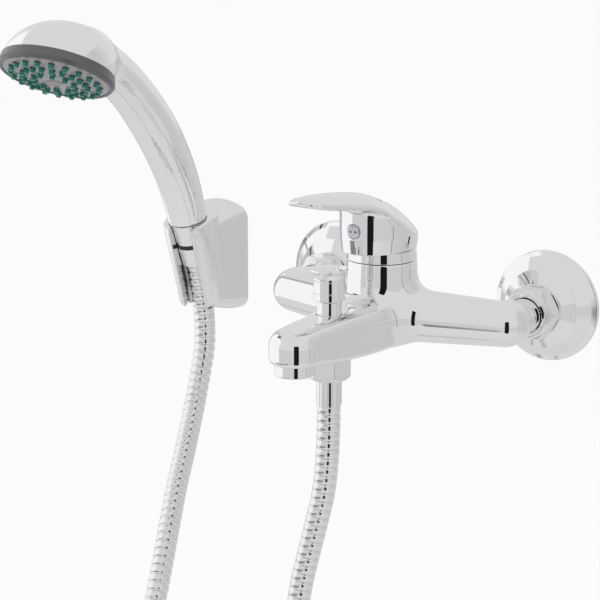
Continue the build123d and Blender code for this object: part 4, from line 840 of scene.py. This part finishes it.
@dataclass
class Lever:
    """Cover ring, lever and its button."""

    body: str = "lever_assembly"
    hub_radius: float = 22.0
    hub_nose: float = 32.0
    bottom: float = 41.8
    skirt_top: float = 51.0
    bottom_radius: float = 21.0
    hollow_radius: float = 26.4
    hollow_z: float = 25.2
    button_z: float = 56.0
    cap: tuple = (      # reach in front of the column's axis, height 23 mm to the side and in the middle
        (-22.5, 35.0, 47.5), (-15.0, 43.0, 56.5), (-8.0, 48.5, 63.0), (0.0, 52.5, 68.4),
        (10.0, 55.5, 72.2), (20.0, 56.0, 75.0), (33.0, 60.0, 78.2))
    blade: tuple = (    # Y, half width, underside, edge and top
        (-164.2, 0.5, 82.9, 83.6, 84.6), (-162.5, 5.4, 82.0, 83.2, 84.9), (-157.0, 10.5, 79.6, 82.2, 85.2),
        (-148.0, 13.2, 77.6, 80.3, 84.9), (-134.0, 14.8, 75.4, 78.2, 83.7), (-119.0, 16.0, 72.6, 75.4, 81.8),
        (-105.0, 17.0, 69.4, 72.5, 79.1), (-92.0, 17.3, 64.3, 67.5, 75.3), (-84.0, 16.5, 60.0, 62.0, 71.4))
    ring: tuple = ((19.9, 34.75), (21.2, 34.75), (20.75, 40.6), (20.2, 41.3, 0.5), (14.5, 41.3), (14.5, 40.0),
                   (18.6, 40.0), (19.9, 39.0))
    button: tuple = ((0, 0), (4.25, 0), (4.25, 1.8, 0.3), (3.4, 2.45, 1.0), (2.6, 2.3, 0.6), (0, 2.5))

    def hub(self, x: Array, y: Array, z: Array) -> Array:
        """The hub's field, up to the crowned cap."""
        reach = COLUMN_Y - y
        growth = np.clip((self.skirt_top - z) / (self.skirt_top - self.bottom), 0, 1)
        width = self.hub_radius - growth * (self.hub_radius - self.bottom_radius)
        length = np.where(reach > 0, width + self.hub_nose - self.hub_radius, width)
        ratio = np.hypot(x / width, reach / length)
        wall = ratio * (ratio - 1) / np.maximum(np.hypot(x / width ** 2, reach / length ** 2), 1e-6)
        side, middle = read_table(reach, self.cap)
        cap = (z - middle + (middle - side) * (x / 23.0) ** 2) * 0.8
        return common(common(wall, cap, 3.0), self.bottom - z, 0.5)

    def blade_field(self, x: Array, y: Array, z: Array) -> Array:
        """The blade's field."""
        half, low, edge, crown = read_table(y, self.blade)
        drop = (crown - edge) * np.minimum((x / half) ** 2, 4.0)
        over = (z - crown + drop) * 0.92
        side = (np.abs(x) - half) * 0.8
        solid = common(common(side, over, 2.2), low - z, 1.6)
        return common(common(solid, y + 83.0, 1.5), -164.0 - y, 0.8)

    def form(self, x: Array, y: Array, z: Array) -> Array:
        """The whole lever's field."""
        solid = merged(self.hub(x, y, z), self.blade_field(x, y, z), 3.2)
        hollow = np.sqrt(x ** 2 + (y - COLUMN_Y) ** 2 + (z - self.hollow_z) ** 2) - self.hollow_radius
        button = drum(np.hypot(x, z - self.button_z), -y, 4.35, 103.3, 110.0, 0.2)
        return without(without(solid, hollow), button, 0.35)

    def build(self) -> None:
        """Build the ring, the lever and the button."""
        carried(turned("lever_cover_ring", self.ring, COLUMN, Finish.CHROME, 0.3, sides=160), FIXED, "chrome",
                "cover_ring")
        carried(carved("lever_casting", self.form, "lever", 0.7, Finish.CHROME), self.body, "chrome", "lever")
        place = Place((0, COLUMN_Y - self.hub_nose + 2.15, self.button_z), FROM_WALL)
        carried(turned("lever_button", self.button, place, Finish.MARK, 0.25, closed=False, sides=64),
                self.body, "indicator", "indicator_cap")


@dataclass
class SpoutFittings:
    """Diverter knob and aerator."""

    knob_foot: tuple = ((0, 11.0), (7.2, 11.0), (7.2, 20.5, 0.2), (8.5, 20.5), (9.2, 21.2))
    knob_grooves: tuple[float, ...] = (25.7, 32.7)
    knob_crown: tuple = ((9.2, 34.2, 2.5), (9.8, 36.9, 2.0), (11.2, 38.5, 0.8), (10.6, 39.7, 0.9),
                         (5.2, 40.5, 3.0), (0, 40.8))
    housing: tuple = ((8.8, -15.5), (11.4, -15.5, 0.8), (11.4, -8.55), (11.0, -8.5), (11.0, -1.5),
                      (9.6, -1.5), (9.6, -14.5), (8.8, -14.5))

    def build(self) -> None:
        """Turn the knob and the aerator's housing."""
        outline = list(self.knob_foot)
        for groove in self.knob_grooves:
            outline += [(9.2, groove - 0.4, 0.15), (8.75, groove, 0.15), (9.2, groove + 0.4, 0.15)]
        outline += self.knob_crown
        diverter, nose = (Place((0, y, 0), UPRIGHT) for y in (DIVERTER_Y, NOSE_Y))
        carried(turned("pull_knob", outline, diverter, Finish.CHROME, 0.5, closed=False),
                "diverter_assembly", "chrome", "diverter_knob")
        carried(turned("aerator_cover", self.housing, nose, Finish.CHROME, 0.3), FIXED, "chrome",
                "aerator_housing")


@dataclass
class ShowerHose:
    """The hose with its fittings."""

    radius: float = 7.0
    groove: float = 6.2
    pitch: float = 5.4
    length: float = 1.5
    sides: int = 28
    nut_flats: float = 23.0
    nut_turn: float = 18.0
    nut_top: float = -13.3
    nut_bottom: float = -26.5
    coil_centre: tuple[float, float] = (-76.0, -355.0)
    coil_radius: float = 82.0
    coil_start_y: float = -147.0
    coil_pitch: float = 14.6
    coil_turns: float = 1.5
    mixer_route: tuple = (
        (0, DIVERTER_Y, -42.3), (0, DIVERTER_Y, -86.0), (-9.5, -133.0, -126.0), (-19.0, -137.0, -170.0),
        (-16.0, -142.0, -216.0), (-5.0, -145.5, -262.0))
    handset_route: tuple = (
        (-171.5, -29.3, -89.6), (-158.8, -61.3, -121.5), (-151.0, -82.0, -140.0), (-139.0, -110.0, -170.0),
        (-130.0, -137.0, -208.0), (-138.5, -158.0, -254.0))

    def coil_spot(self, turns: float, spread: float = 1.0) -> Triple:
        """A point of the coil, or with a spread a point a little further out."""
        angle = FULL_TURN * turns
        reach = self.coil_radius * spread
        return (self.coil_centre[0] + reach * math.cos(angle), self.coil_start_y - self.coil_pitch * turns,
                self.coil_centre[1] - reach * math.sin(angle))

    def control_points(self) -> list[Triple]:
        """The route's points, from the mixer to the handset."""
        start, end = self.coil_spot(0), self.coil_spot(self.coil_turns)
        steps = round(self.coil_turns * 16)
        return [
            *self.mixer_route,
            (start[0], start[1] + 0.9, start[2] + 58.0), (start[0], start[1] + 0.2, start[2] + 14.0),
            *(self.coil_spot(self.coil_turns * (i + 0.5) / steps, 1.019) for i in range(steps)),
            (end[0], end[1] - 0.2, end[2] + 14.0), (end[0], end[1] - 0.9, end[2] + 58.0),
            *reversed(self.handset_route),
            *(tuple(CRADLE.out(np.array([0, 0, height]))) for height in (-78.0, -31.0)),
        ]

    def centre_line(self) -> Array:
        """The smooth line of the hose, in millimetres, read from its spline."""
        data = bpy.data.curves.new("hose_route", "CURVE")
        data.dimensions = "3D"
        spline = data.splines.new("NURBS")
        points = self.control_points()
        spline.points.add(len(points) - 1)
        for point, spot in zip(spline.points, points):
            point.co = (*spot, 1.0)
        spline.order_u = 3
        spline.use_endpoint_u = True
        data.resolution_u = 24
        guide = linked("hose_route", data)
        bpy.context.view_layer.update()
        mesh = bpy.data.meshes.new_from_object(guide)
        line = np.array([v.co for v in mesh.vertices])
        bpy.data.objects.remove(guide)
        bpy.data.meshes.remove(mesh)
        return line

    def ribbed(self, line: Array) -> tuple[Array, Array, list[float]]:
        """Where the ribs' rings lie on the line, which way they face, and how wide they are."""
        steps = np.linalg.norm(np.diff(line, axis=0), axis=1)
        along = np.concatenate([[0], np.cumsum(steps)])
        total = along[-1]
        ribs = round(total / self.pitch)
        pitch = total / ribs
        foot, shoulder = self.groove + 0.02, self.radius - 0.16
        shape = ((0.0, self.groove), (0.07, foot), (0.13, shoulder), (0.24, self.radius), (0.76, self.radius),
                 (0.87, shoulder), (0.93, foot))
        places = [(rib + share) * pitch for rib in range(ribs) for share, _ in shape] + [total]
        radii = [reach for _ in range(ribs) for _, reach in shape] + [self.groove]
        centres = np.stack([np.interp(places, along, line[:, axis]) for axis in range(3)], 1)
        ways = np.gradient(centres, np.array(places), axis=0)
        return centres, ways / np.linalg.norm(ways, axis=1, keepdims=True), radii

    def tube(self) -> None:
        """Sweep the ribbed hose along its line, and close its ends."""
        centres, ways, radii = self.ribbed(self.centre_line())
        angle = np.linspace(0, FULL_TURN, self.sides, endpoint=False)[:, None]
        side = np.cross(ways[0], (1.0, 0.0, 0.0))
        rows = []
        for centre, way, radius in zip(centres, ways, radii):
            side = side - way * side.dot(way)
            side /= np.linalg.norm(side)
            rows.append(centre + radius * (np.cos(angle) * side + np.sin(angle) * np.cross(way, side)))
        count = len(centres) * self.sides
        numbers = [[count] * self.sides, *(range(i, i + self.sides) for i in range(0, count, self.sides)),
                   [count + 1] * self.sides]
        points = np.concatenate(rows + [centres[:1], centres[-1:]])
        hose = settle("shower_hose", points, bands(numbers), Finish.HOSE)
        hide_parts("hose_mixer_side", "hose_coil", "hose_handset_side")
        path = [tuple(Vector(c) / 1000 + Vector((0, 0, RISE / 1000))) for c in centres]
        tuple(path[0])
        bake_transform(hose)

    def nut_form(self, x: Array, y: Array, z: Array) -> Array:
        """The hose nut's field."""
        v = y - DIVERTER_Y
        radial, below, over = np.hypot(x, v), z - self.nut_top, z - self.nut_bottom
        solid = trimmed(hexagon_field(x, v, self.nut_flats, self.nut_turn, 0.5), 0.3, below, -over,
                        (radial - 12.2 + below) * 0.75, (radial - 10.9 - over * 1.1) * 0.7)
        bore = np.minimum(drum(radial, z, 10.54, -23.5, -10.0), drum(radial, z, 7.1, -40.0, -20.0))
        return without(solid, bore, 0.2)

    def build(self) -> None:
        """Build the hose and its nut."""
        self.tube()
        carried(carved("hose_nut_cover", self.nut_form, "hose_nut", 0.45, Finish.CHROME), FIXED,
                "plated_brass", "hose_nut")


@dataclass
class Handset:
    """The handset with its cone nut, trim ring, spray plate and nozzles."""

    body: str = "handset"
    handle: tuple = (   # forward, up and diameter
        (0.0, 1.0, 25.4), (0.2, 15.0, 26.2), (1.4, 28.0, 27.0), (4.5, 43.0, 27.6), (9.0, 58.0, 28.2),
        (15.0, 73.5, 28.5), (22.6, 89.5, 28.3), (31.6, 105.0, 27.6), (42.5, 120.5, 27.6), (56.0, 135.0, 28.0),
        (71.0, 147.5, 28.5))
    head_radius: float = 33.6
    trim_height: float = 6.2
    head_dome: float = 35.5
    head_power: float = 2.2     # of the head's rounded outline
    trim: tuple = ((32.0, -0.3), (33.6, -0.6, 0.8), (35.2, 1.6, 1.2), (33.95, 7.0, 0.3), (32.6, 7.0),
                   (32.6, 8.0), (31.4, 8.0))
    plate_radius: float = 31.9
    plate_back: tuple = ((31.9, 0.0, 0.3), (31.9, 9.0), (30.1, 9.0), (30.1, 2.0), (0, -0.6))
    oval: tuple = ((5.5, 0.5), (5.5, -0.4), (5.15, -0.6), (4.7, -0.25), (0.0, -0.3))
    oval_flatness: float = 0.62
    rows: int = 20
    rings: tuple[float, ...] = (12.5, 19.5, 26.5)

    @staticmethod
    def crown(share: float) -> float:
        """The domed plate's height at a share of its squared radius."""
        return -3.4 * (1 - share)

    def shell(self) -> None:
        """Carve handle and head in one."""
        forward, up, size = (np.array(v) for v in zip(*self.handle))
        run = np.concatenate([[0], np.cumsum(np.hypot(np.diff(forward), np.diff(up)))])
        fine = np.linspace(0, run[-1], 34)
        ahead, height, radius = (smooth_between(fine, run, values) for values in (forward, up, size / 2))
        spots = [((0, -a, h), r) for a, h, r in zip(ahead, height, radius)]

        def form(x: Array, y: Array, z: Array) -> Array:
            """The shell's field."""
            own = HANDSET.inward(x, y, z)
            handle = together(cone_along(*own, here, there, near, far)
                              for (here, near), (there, far) in zip(spots, spots[1:]))
            handle = common(handle, 1.0 - own[2], 1.0)
            u, v, w = SPRAY_FACE.inward(x, y, z)
            rise = np.maximum(w - self.trim_height, 0)
            share = rise / (self.head_dome - self.trim_height)
            leaning = np.hypot(u, v - 0.3 * rise)
            power = self.head_power
            ratio = ((leaning / self.head_radius) ** power + share ** power + 1e-9) ** (1 / power)
            head = common((ratio - 1) * 29.0, self.trim_height - w, 0.3)
            seat = drum(np.hypot(u, v), w, 35.3, -40.0, self.trim_height, 0.3)
            return without(merged(handle, head, 15.0), seat, 0.5)

        carried(carved("handset_cover", form, "handset_shell", 1.0, Finish.CHROMED_PLASTIC), self.body,
                "chrome_plastic", "handset_shell")

    def face(self) -> None:
        """Turn the trim ring and the spray plate."""
        carried(turned("trim_band", self.trim, SPRAY_FACE, Finish.TRIM, 0.3, sides=160), self.body,
                "trim_grey", "trim_ring")
        reaches = [self.plate_radius * step / 12 for step in range(1, 12)]
        dome = [(reach, self.crown((reach / self.plate_radius) ** 2)) for reach in reaches]
        plate = [(0, self.crown(0)), *dome, *self.plate_back]
        carried(turned("spray_plate_cover", plate, SPRAY_FACE, Finish.SPRAY, 0.3, closed=False), self.body,
                "grey_plastic", "spray_plate")

    def middle(self) -> None:
        """Raise the low bare oval in the plate's middle."""
        sides, points = 64, []
        for reach, height in self.oval:
            for s in range(sides):
                angle = FULL_TURN * s / sides
                x, y = reach * math.cos(angle), self.oval_flatness * reach * math.sin(angle)
                points.append((x, y, self.crown((x * x + y * y) / 1024) + height))
        rows = [range(i * sides, (i + 1) * sides) for i in range(len(self.oval))]
        piece = settle("bare_oval", SPRAY_FACE.out(np.array(points)), bands(rows[::-1]), Finish.SPRAY)
        carried(piece, self.body, "grey_plastic")

    def ring_tree(self, name: str, tip: float, root: float, out: float, height: float) -> bpy.types.NodeTree:
        """The node tree that sets out small cones in rings over the spray face.

        Args:
            name: the tree's name.
            tip: the cones' outer radius.
            root: their inner radius.
            out: how far they stand out of the plate.
            height: their whole height.

        Returns:
            The tree, with named inputs for the cones' count and size.
        """
        kit = Nodes(bpy.data.node_groups.new(name, "GeometryNodeTree"))
        face = kit.tree.interface
        face.new_socket("Geometry", in_out="OUTPUT", socket_type="NodeSocketGeometry")
        sizes = {"Rows": ("Int", self.rows), "Inner Rows": ("Int", self.rows // 2),
                 "Tip Radius": ("Float", tip), "Height": ("Float", height), "Finish": ("Material", None)}
        for label, (kind, value) in sizes.items():
            socket = face.new_socket(label, in_out="INPUT", socket_type=f"NodeSocket{kind}")
            if value is not None:
                socket.default_value = value
        entry = kit.add("NodeGroupInput").outputs
        stem = kit.add("GeometryNodeMeshCone", {"Vertices": 14, "Radius Bottom": entry["Tip Radius"],
                                                "Radius Top": root, "Depth": entry["Height"]})
        join = kit.add("GeometryNodeJoinGeometry")
        for reach in self.rings:
            rows = "Inner Rows" if reach == self.rings[0] else "Rows"
            circle = kit.add("GeometryNodeMeshCircle", {"Vertices": entry[rows], "Radius": reach})
            shift = kit.add("GeometryNodeTransform", {
                0: circle.outputs[0], "Translation": (0, 0, self.crown((reach / 32.0) ** 2) - out),
                "Rotation": (0, 0, math.pi / self.rows)})
            kit.feed(join.inputs[0], shift.outputs[0])
        spread = kit.add("GeometryNodeInstanceOnPoints",
                         {"Points": join.outputs[0], "Instance": stem.outputs["Mesh"]})
        real = kit.add("GeometryNodeRealizeInstances", {0: spread.outputs[0]})
        dress = kit.add("GeometryNodeSetMaterial", {0: real.outputs[0], "Material": entry["Finish"]})
        kit.add("NodeGroupOutput", {0: dress.outputs[0]})
        return kit.tree

    def rings_of(self, name: str, tree: bpy.types.NodeTree, finish: Finish) -> bpy.types.Object:
        """Set out one tree's cones as a plain mesh, and bring them to the spray face."""
        piece = linked(name, bpy.data.meshes.new(name))
        modifier = piece.modifiers.new("rows", "NODES")
        modifier.node_group = tree
        for item in tree.interface.items_tree:
            if item.name == "Finish":
                modifier[item.identifier] = material_of(finish)
        bpy.context.view_layer.update()
        mesh = bpy.data.meshes.new_from_object(piece.evaluated_get(bpy.context.evaluated_depsgraph_get()))
        piece.modifiers.clear()
        piece.data = mesh
        placed = (SPRAY_FACE.out(np.array([v.co for v in mesh.vertices])) + (0, 0, RISE)) / 1000
        mesh.vertices.foreach_set("co", placed.ravel())
        mesh.update()
        mesh.shade_smooth()
        mesh.set_sharp_from_angle(angle=math.radians(50))
        log.info("%s: %d faces", name, len(mesh.polygons))
        return piece

    def nozzles(self) -> None:
        """Set out the nozzles, and round each a dark disc of painted shade that stands for the shadowed gap
        in the plate.
        """
        rows = self.ring_tree("nozzle_rows", 1.5, 1.7, 2.6, 5.2)
        # painted shade: black rubber discs just over the plate stand in for the shadowed gap round each
        # nozzle
        gap_shade = self.ring_tree("nozzle_gap_shade", 2.1, 2.1, 0.12, 0.6)
        carried(self.rings_of("spray_nozzle_rows", rows, Finish.NOZZLE), self.body, "nozzle_rubber",
                "spray_nozzles")
        carried(self.rings_of("spray_nozzle_gaps", gap_shade, Finish.RUBBER), self.body, "grey_plastic")

    def cone(self) -> None:
        """Turn the cone nut and its black band."""
        def radius(height: float) -> float:
            """The cone's radius at a height."""
            return 12.3 + (height - 0.6) * 0.1

        low, high = radius(-17), radius(-14)
        nut = [(7.2, -30.4), (9.2, -30.4), (radius(-17.1), -17.1, 0.1), (low - 0.8, -17.0, 0.05),
               (high - 0.8, -14.0, 0.05), (radius(-13.9), -13.9, 0.1), (12.3, 0.6), (10.6, 0.6), (10.6, -9.0),
               (9.3, -9.0), (9.3, -11.0), (7.2, -11.0)]
        band = [(low - 0.75, -16.98), (low + 0.1, -16.98), (high + 0.1, -14.02), (high - 0.75, -14.02)]
        carried(turned("cone_nut_cover", nut, HANDSET, Finish.CHROME, 0.3), self.body, "chrome", "cone_nut")
        carried(turned("cone_band_cover", band, HANDSET, Finish.BAND, 0.2), self.body, "black_band",
                "cone_band")

    def build(self) -> None:
        """Build the whole handset."""
        self.shell()
        self.face()
        self.middle()
        self.nozzles()
        self.cone()


@dataclass
class Bracket:
    """The wall bracket with its slotted cradle."""

    x: float = -171.0
    half_width: float = 21.5
    half_height: float = 38.0
    depth: float = 31.0
    front_slope: float = 0.105      # radians
    wall: float = 3.0
    sleeve_radius: float = 16.4
    sleeve_bottom: float = -58.0
    slot_width: float = 14.8
    slot_turn: float = 12.0
    screws: tuple[float, ...] = (-20.0, 20.0)

    def block(self, x: Array, y: Array, z: Array, inset: float) -> Array:
        """The field of the tapering block."""
        share = np.clip(-y / self.depth, -0.1, 1.3)
        half = self.half_width - 5.5 * share - inset
        height = self.half_height - 8.0 * share - inset
        crown = (6.0 - 3.5 * share) * ((x - self.x) / half) ** 2
        outline = rounded_plate(x - self.x, np.abs(z) + np.minimum(crown, 8.0), half, height, 5.0)
        front = (-(y + self.depth - inset) * math.cos(self.front_slope)
                 - (z - 1.0) * math.sin(self.front_slope))
        return common(common(outline * 0.97, front, 3.0), y, 0.3)

    def form(self, x: Array, y: Array, z: Array) -> Array:
        """The whole bracket's field."""
        a, b, c = CRADLE.inward(x, y, z)
        radial = np.hypot(a, b)
        sleeve = trimmed(radial - self.sleeve_radius - c * 0.4 / 58.0, 0.8, c, self.sleeve_bottom - c)
        roof = trimmed(np.abs(a) - 16.6 + np.clip(-28.0 - y, 0, 40) * 0.19, 0.8, c, -7.0 - c)
        roof = common(roof, np.maximum(-46.0 - y, y + 26.0), 1.5)
        solid = merged(merged(self.block(x, y, z, 0.0), sleeve, 2.0), roof, 1.5)
        pocket = common(self.block(x, y, z, self.wall), -13.0 - y, 0.3)
        hole = radial - np.where(c > -30.7, 12.6 + (c - 0.6) * 0.1, 9.5)
        angle = math.radians(self.slot_turn)
        across = a * math.cos(angle) + b * math.sin(angle)
        forward = a * math.sin(angle) - b * math.cos(angle)
        slot = common(np.abs(across) - self.slot_width / 2, -forward, 0.3)
        for screw in self.screws:
            boss = np.hypot(x - self.x, z - screw)
            pocket = without(pocket, boss - 6.5, 0.5)
            hole = np.minimum(hole, boss - 2.5)
        return without(without(solid, pocket, 0.5), np.minimum(hole, slot), 0.5)

    def build(self) -> None:
        """Carve the bracket."""
        piece = carved("bracket_moulding", self.form, "wall_bracket", 0.7, Finish.SATIN_CHROME)
        carried(piece, FIXED, "chrome_plastic", "wall_bracket")


@dataclass
class HiddenWorks:
    """Finishes of the CAD pieces that keep their own shape."""

    dress: dict = field(default_factory=lambda: {
        Finish.THREADED_BRASS: "s_union_hot s_union_cold",
        Finish.BRASS: ("cartridge_stem cartridge_nut diverter_stem diverter_bonnet diverter_valve "
                       "hose_insert_mixer hose_insert_handset"),
        Finish.RUBBER: ("union_washers cartridge_seals diverter_stem_seal diverter_valve_seals aerator_seal "
                        "hose_nut_washer cone_washer spray_seal"),
        Finish.CERAMIC: "fixed_disc moving_disc",
        Finish.CARTRIDGE: ("cartridge_base disc_carrier cartridge_housing cartridge_rotor aerator_insert "
                           "handset_tube"),
        Finish.STEEL: "stem_pin lever_screw diverter_spring bracket_screws",
        Finish.CHROME: "hose_ferrule_mixer hose_ferrule_handset inlet_nipple_hot inlet_nipple_cold",
        Finish.WHITE: "hose_tie",
    })

    def build(self) -> None:
        """Dress each node."""
        for finish, nodes in self.dress.items():
            for node in nodes.split():
                for slot in bpy.data.objects[node].material_slots:
                    slot.material = material_of(finish)


def aimed(thing: bpy.types.Object, place: Sequence[float], target: Sequence[float], front: str) -> None:
    """Put a camera, lamp or card at its place, with its front axis towards a point."""
    thing.location = place
    thing.rotation_euler = (Vector(target) - Vector(place)).to_track_quat(front, "Y").to_euler()


@dataclass
class Studio:
    """Camera, lights, floor and the cards that the chrome reflects."""

    eye: Triple = (0.6314, -1.1058, 0.3312)
    target: Triple = (-0.0678, -0.060, 0.0033)
    middle: Triple = (-0.05, -0.08, 0.03)       # the cards stand round this point
    lamp_target: Triple = (-0.06, -0.06, 0.0)
    lens: float = 124.48
    floor_half: float = 15.0
    floor_z: float = -0.62
    cards: tuple = (    # name, azimuth, distance, bottom, top, width, tone and softness
        ("black_card", -49.0, 1.05, -0.6, 0.5, 0.4, 0.01, 0.12),
        ("grey_card_front", -77.0, 1.2, -0.6, -0.05, 2.6, 0.68, 0.03),
        ("white_card_left", -166.0, 1.3, -0.6, 1.2, 2.4, 1.05, 0.12),
        ("dark_card_low", -112.0, 1.0, -0.6, -0.37, 1.3, 0.25, 0.3),
        ("dark_line_right", 10.0, 1.2, -0.6, 0.6, 0.03, 0.15, 0.3),
        ("grey_card_right", 40.0, 1.3, -0.6, 1.2, 2.2, 0.62, 0.9),
        ("grey_card_behind", 124.0, 1.3, -0.6, 0.05, 1.4, 0.45, 0.9),
        ("pale_card_above", 124.0, 1.3, 0.45, 1.8, 2.4, 0.76, 0.8),
    )
    lamps: tuple = (    # name, place, size and power
        ("key_lamp", (-0.9, -1.3, 1.4), 0.9, 9.0),
        ("fill_lamp", (1.3, -1.2, 0.5), 0.9, 4.0),
    )

    def camera(self) -> None:
        """Set up the camera at the photograph's angle."""
        data = bpy.data.cameras.new("photograph")
        data.lens, data.sensor_width = self.lens, 36.0
        data.clip_start, data.clip_end = 0.05, 20.0
        camera = linked("photograph", data)
        aimed(camera, self.eye, self.target, "-Z")
        bpy.context.scene.camera = camera

    def world(self) -> None:
        """A white surround, dimmer in the metal and dimmer still for the light it gives."""
        world = bpy.data.worlds.new("studio")
        bpy.context.scene.world = world
        world.use_nodes = True
        kit = Nodes(world.node_tree)
        back = kit.tree.nodes["Background"]
        kit.feed(back.inputs[0], (1, 1, 1, 1))
        kit.feed(back.inputs[1], kit.by_ray(0.45, 0.22) + 0.55)

    def sheet(self, name: str, half_x: float, half_y: float, height: float,
              kit: Finisher) -> bpy.types.Object:
        """Lay out one flat rectangle that is no part of the mixer.

        Args:
            name: its name.
            half_x: half its width.
            half_y: half its depth.
            height: its height over its own origin.
            kit: the builder of its material.

        Returns:
            The rectangle's object.
        """
        mesh = bpy.data.meshes.new(name)
        corners = [(x * half_x, y * half_y, height) for x, y in ((-1, -1), (1, -1), (1, 1), (-1, 1))]
        mesh.from_pydata(corners, [], [(0, 1, 2, 3)])
        mesh.materials.append(kit.material)
        made = linked(name, mesh)
        return made

    def card(self, name: str, azimuth: float, reach: float, low: float, high: float, width: float,
             tone: float, soft: float) -> None:
        """Hang one card that only reflections see.

        Args:
            name: the card's name.
            azimuth: the direction in which it hangs, in degrees.
            reach: its distance from the mixer.
            low: its lower edge.
            high: its upper edge.
            width: its width.
            tone: its brightness.
            soft: the share of its half width over which its sides fade.
        """
        kit = Finisher(name)
        kit.tree.nodes.remove(kit.shader)
        half = width / 2
        share = (half - kit.axis("X").pingpong(width)) * (1 / (half * soft))
        kit.show(kit.value("ShaderNodeClamp", 0, {0: share}), kit.add("ShaderNodeBsdfTransparent"),
                 kit.add("ShaderNodeEmission", {1: tone}))
        card = self.sheet(name, half, (high - low) / 2, 0, kit)
        angle = math.radians(azimuth)
        centre = (self.middle[0] + reach * math.cos(angle), self.middle[1] + reach * math.sin(angle),
                  (low + high) / 2)
        aimed(card, centre, (*self.middle[:2], centre[2]), "Z")
        card.visible_camera = card.visible_diffuse = card.visible_shadow = False

    def lamp(self, name: str, place: Triple, size: float, power: float) -> None:
        """Hang one soft lamp that faces the mixer."""
        data = bpy.data.lights.new(name, "AREA")
        data.shape, data.size, data.energy = "DISK", size, power
        lamp = linked(name, data)
        aimed(lamp, place, self.lamp_target, "-Z")
        lamp.visible_camera = lamp.visible_glossy = False

    def floor(self) -> None:
        """Lay the pale floor, which the camera and the chrome see lighter than it is."""
        kit = Finisher("floor")
        kit.set({"Base Color": (0.86, 0.86, 0.86, 1), "Roughness": 0.9})
        kit.show(kit.by_ray(0.93, 0.35), kit.shader, kit.add("ShaderNodeEmission"))
        self.sheet("floor", self.floor_half, self.floor_half, self.floor_z, kit)

    def build(self) -> None:
        """Set up the studio."""
        bpy.context.scene.view_settings.view_transform = "Standard"
        self.camera()
        self.world()
        self.floor()
        for lamp in self.lamps:
            self.lamp(*lamp)
        for card in self.cards:
            self.card(*card)


def main() -> None:
    """Build the whole object in its studio."""
    logging.basicConfig(level=logging.INFO, format="%(message)s")
    for part in (Studio, ShowerHose, MixerBody, Lever, SpoutFittings, WallConnections, Handset, Bracket,
                 HiddenWorks):
        part().build()


if __name__ == "__main__":
    main()
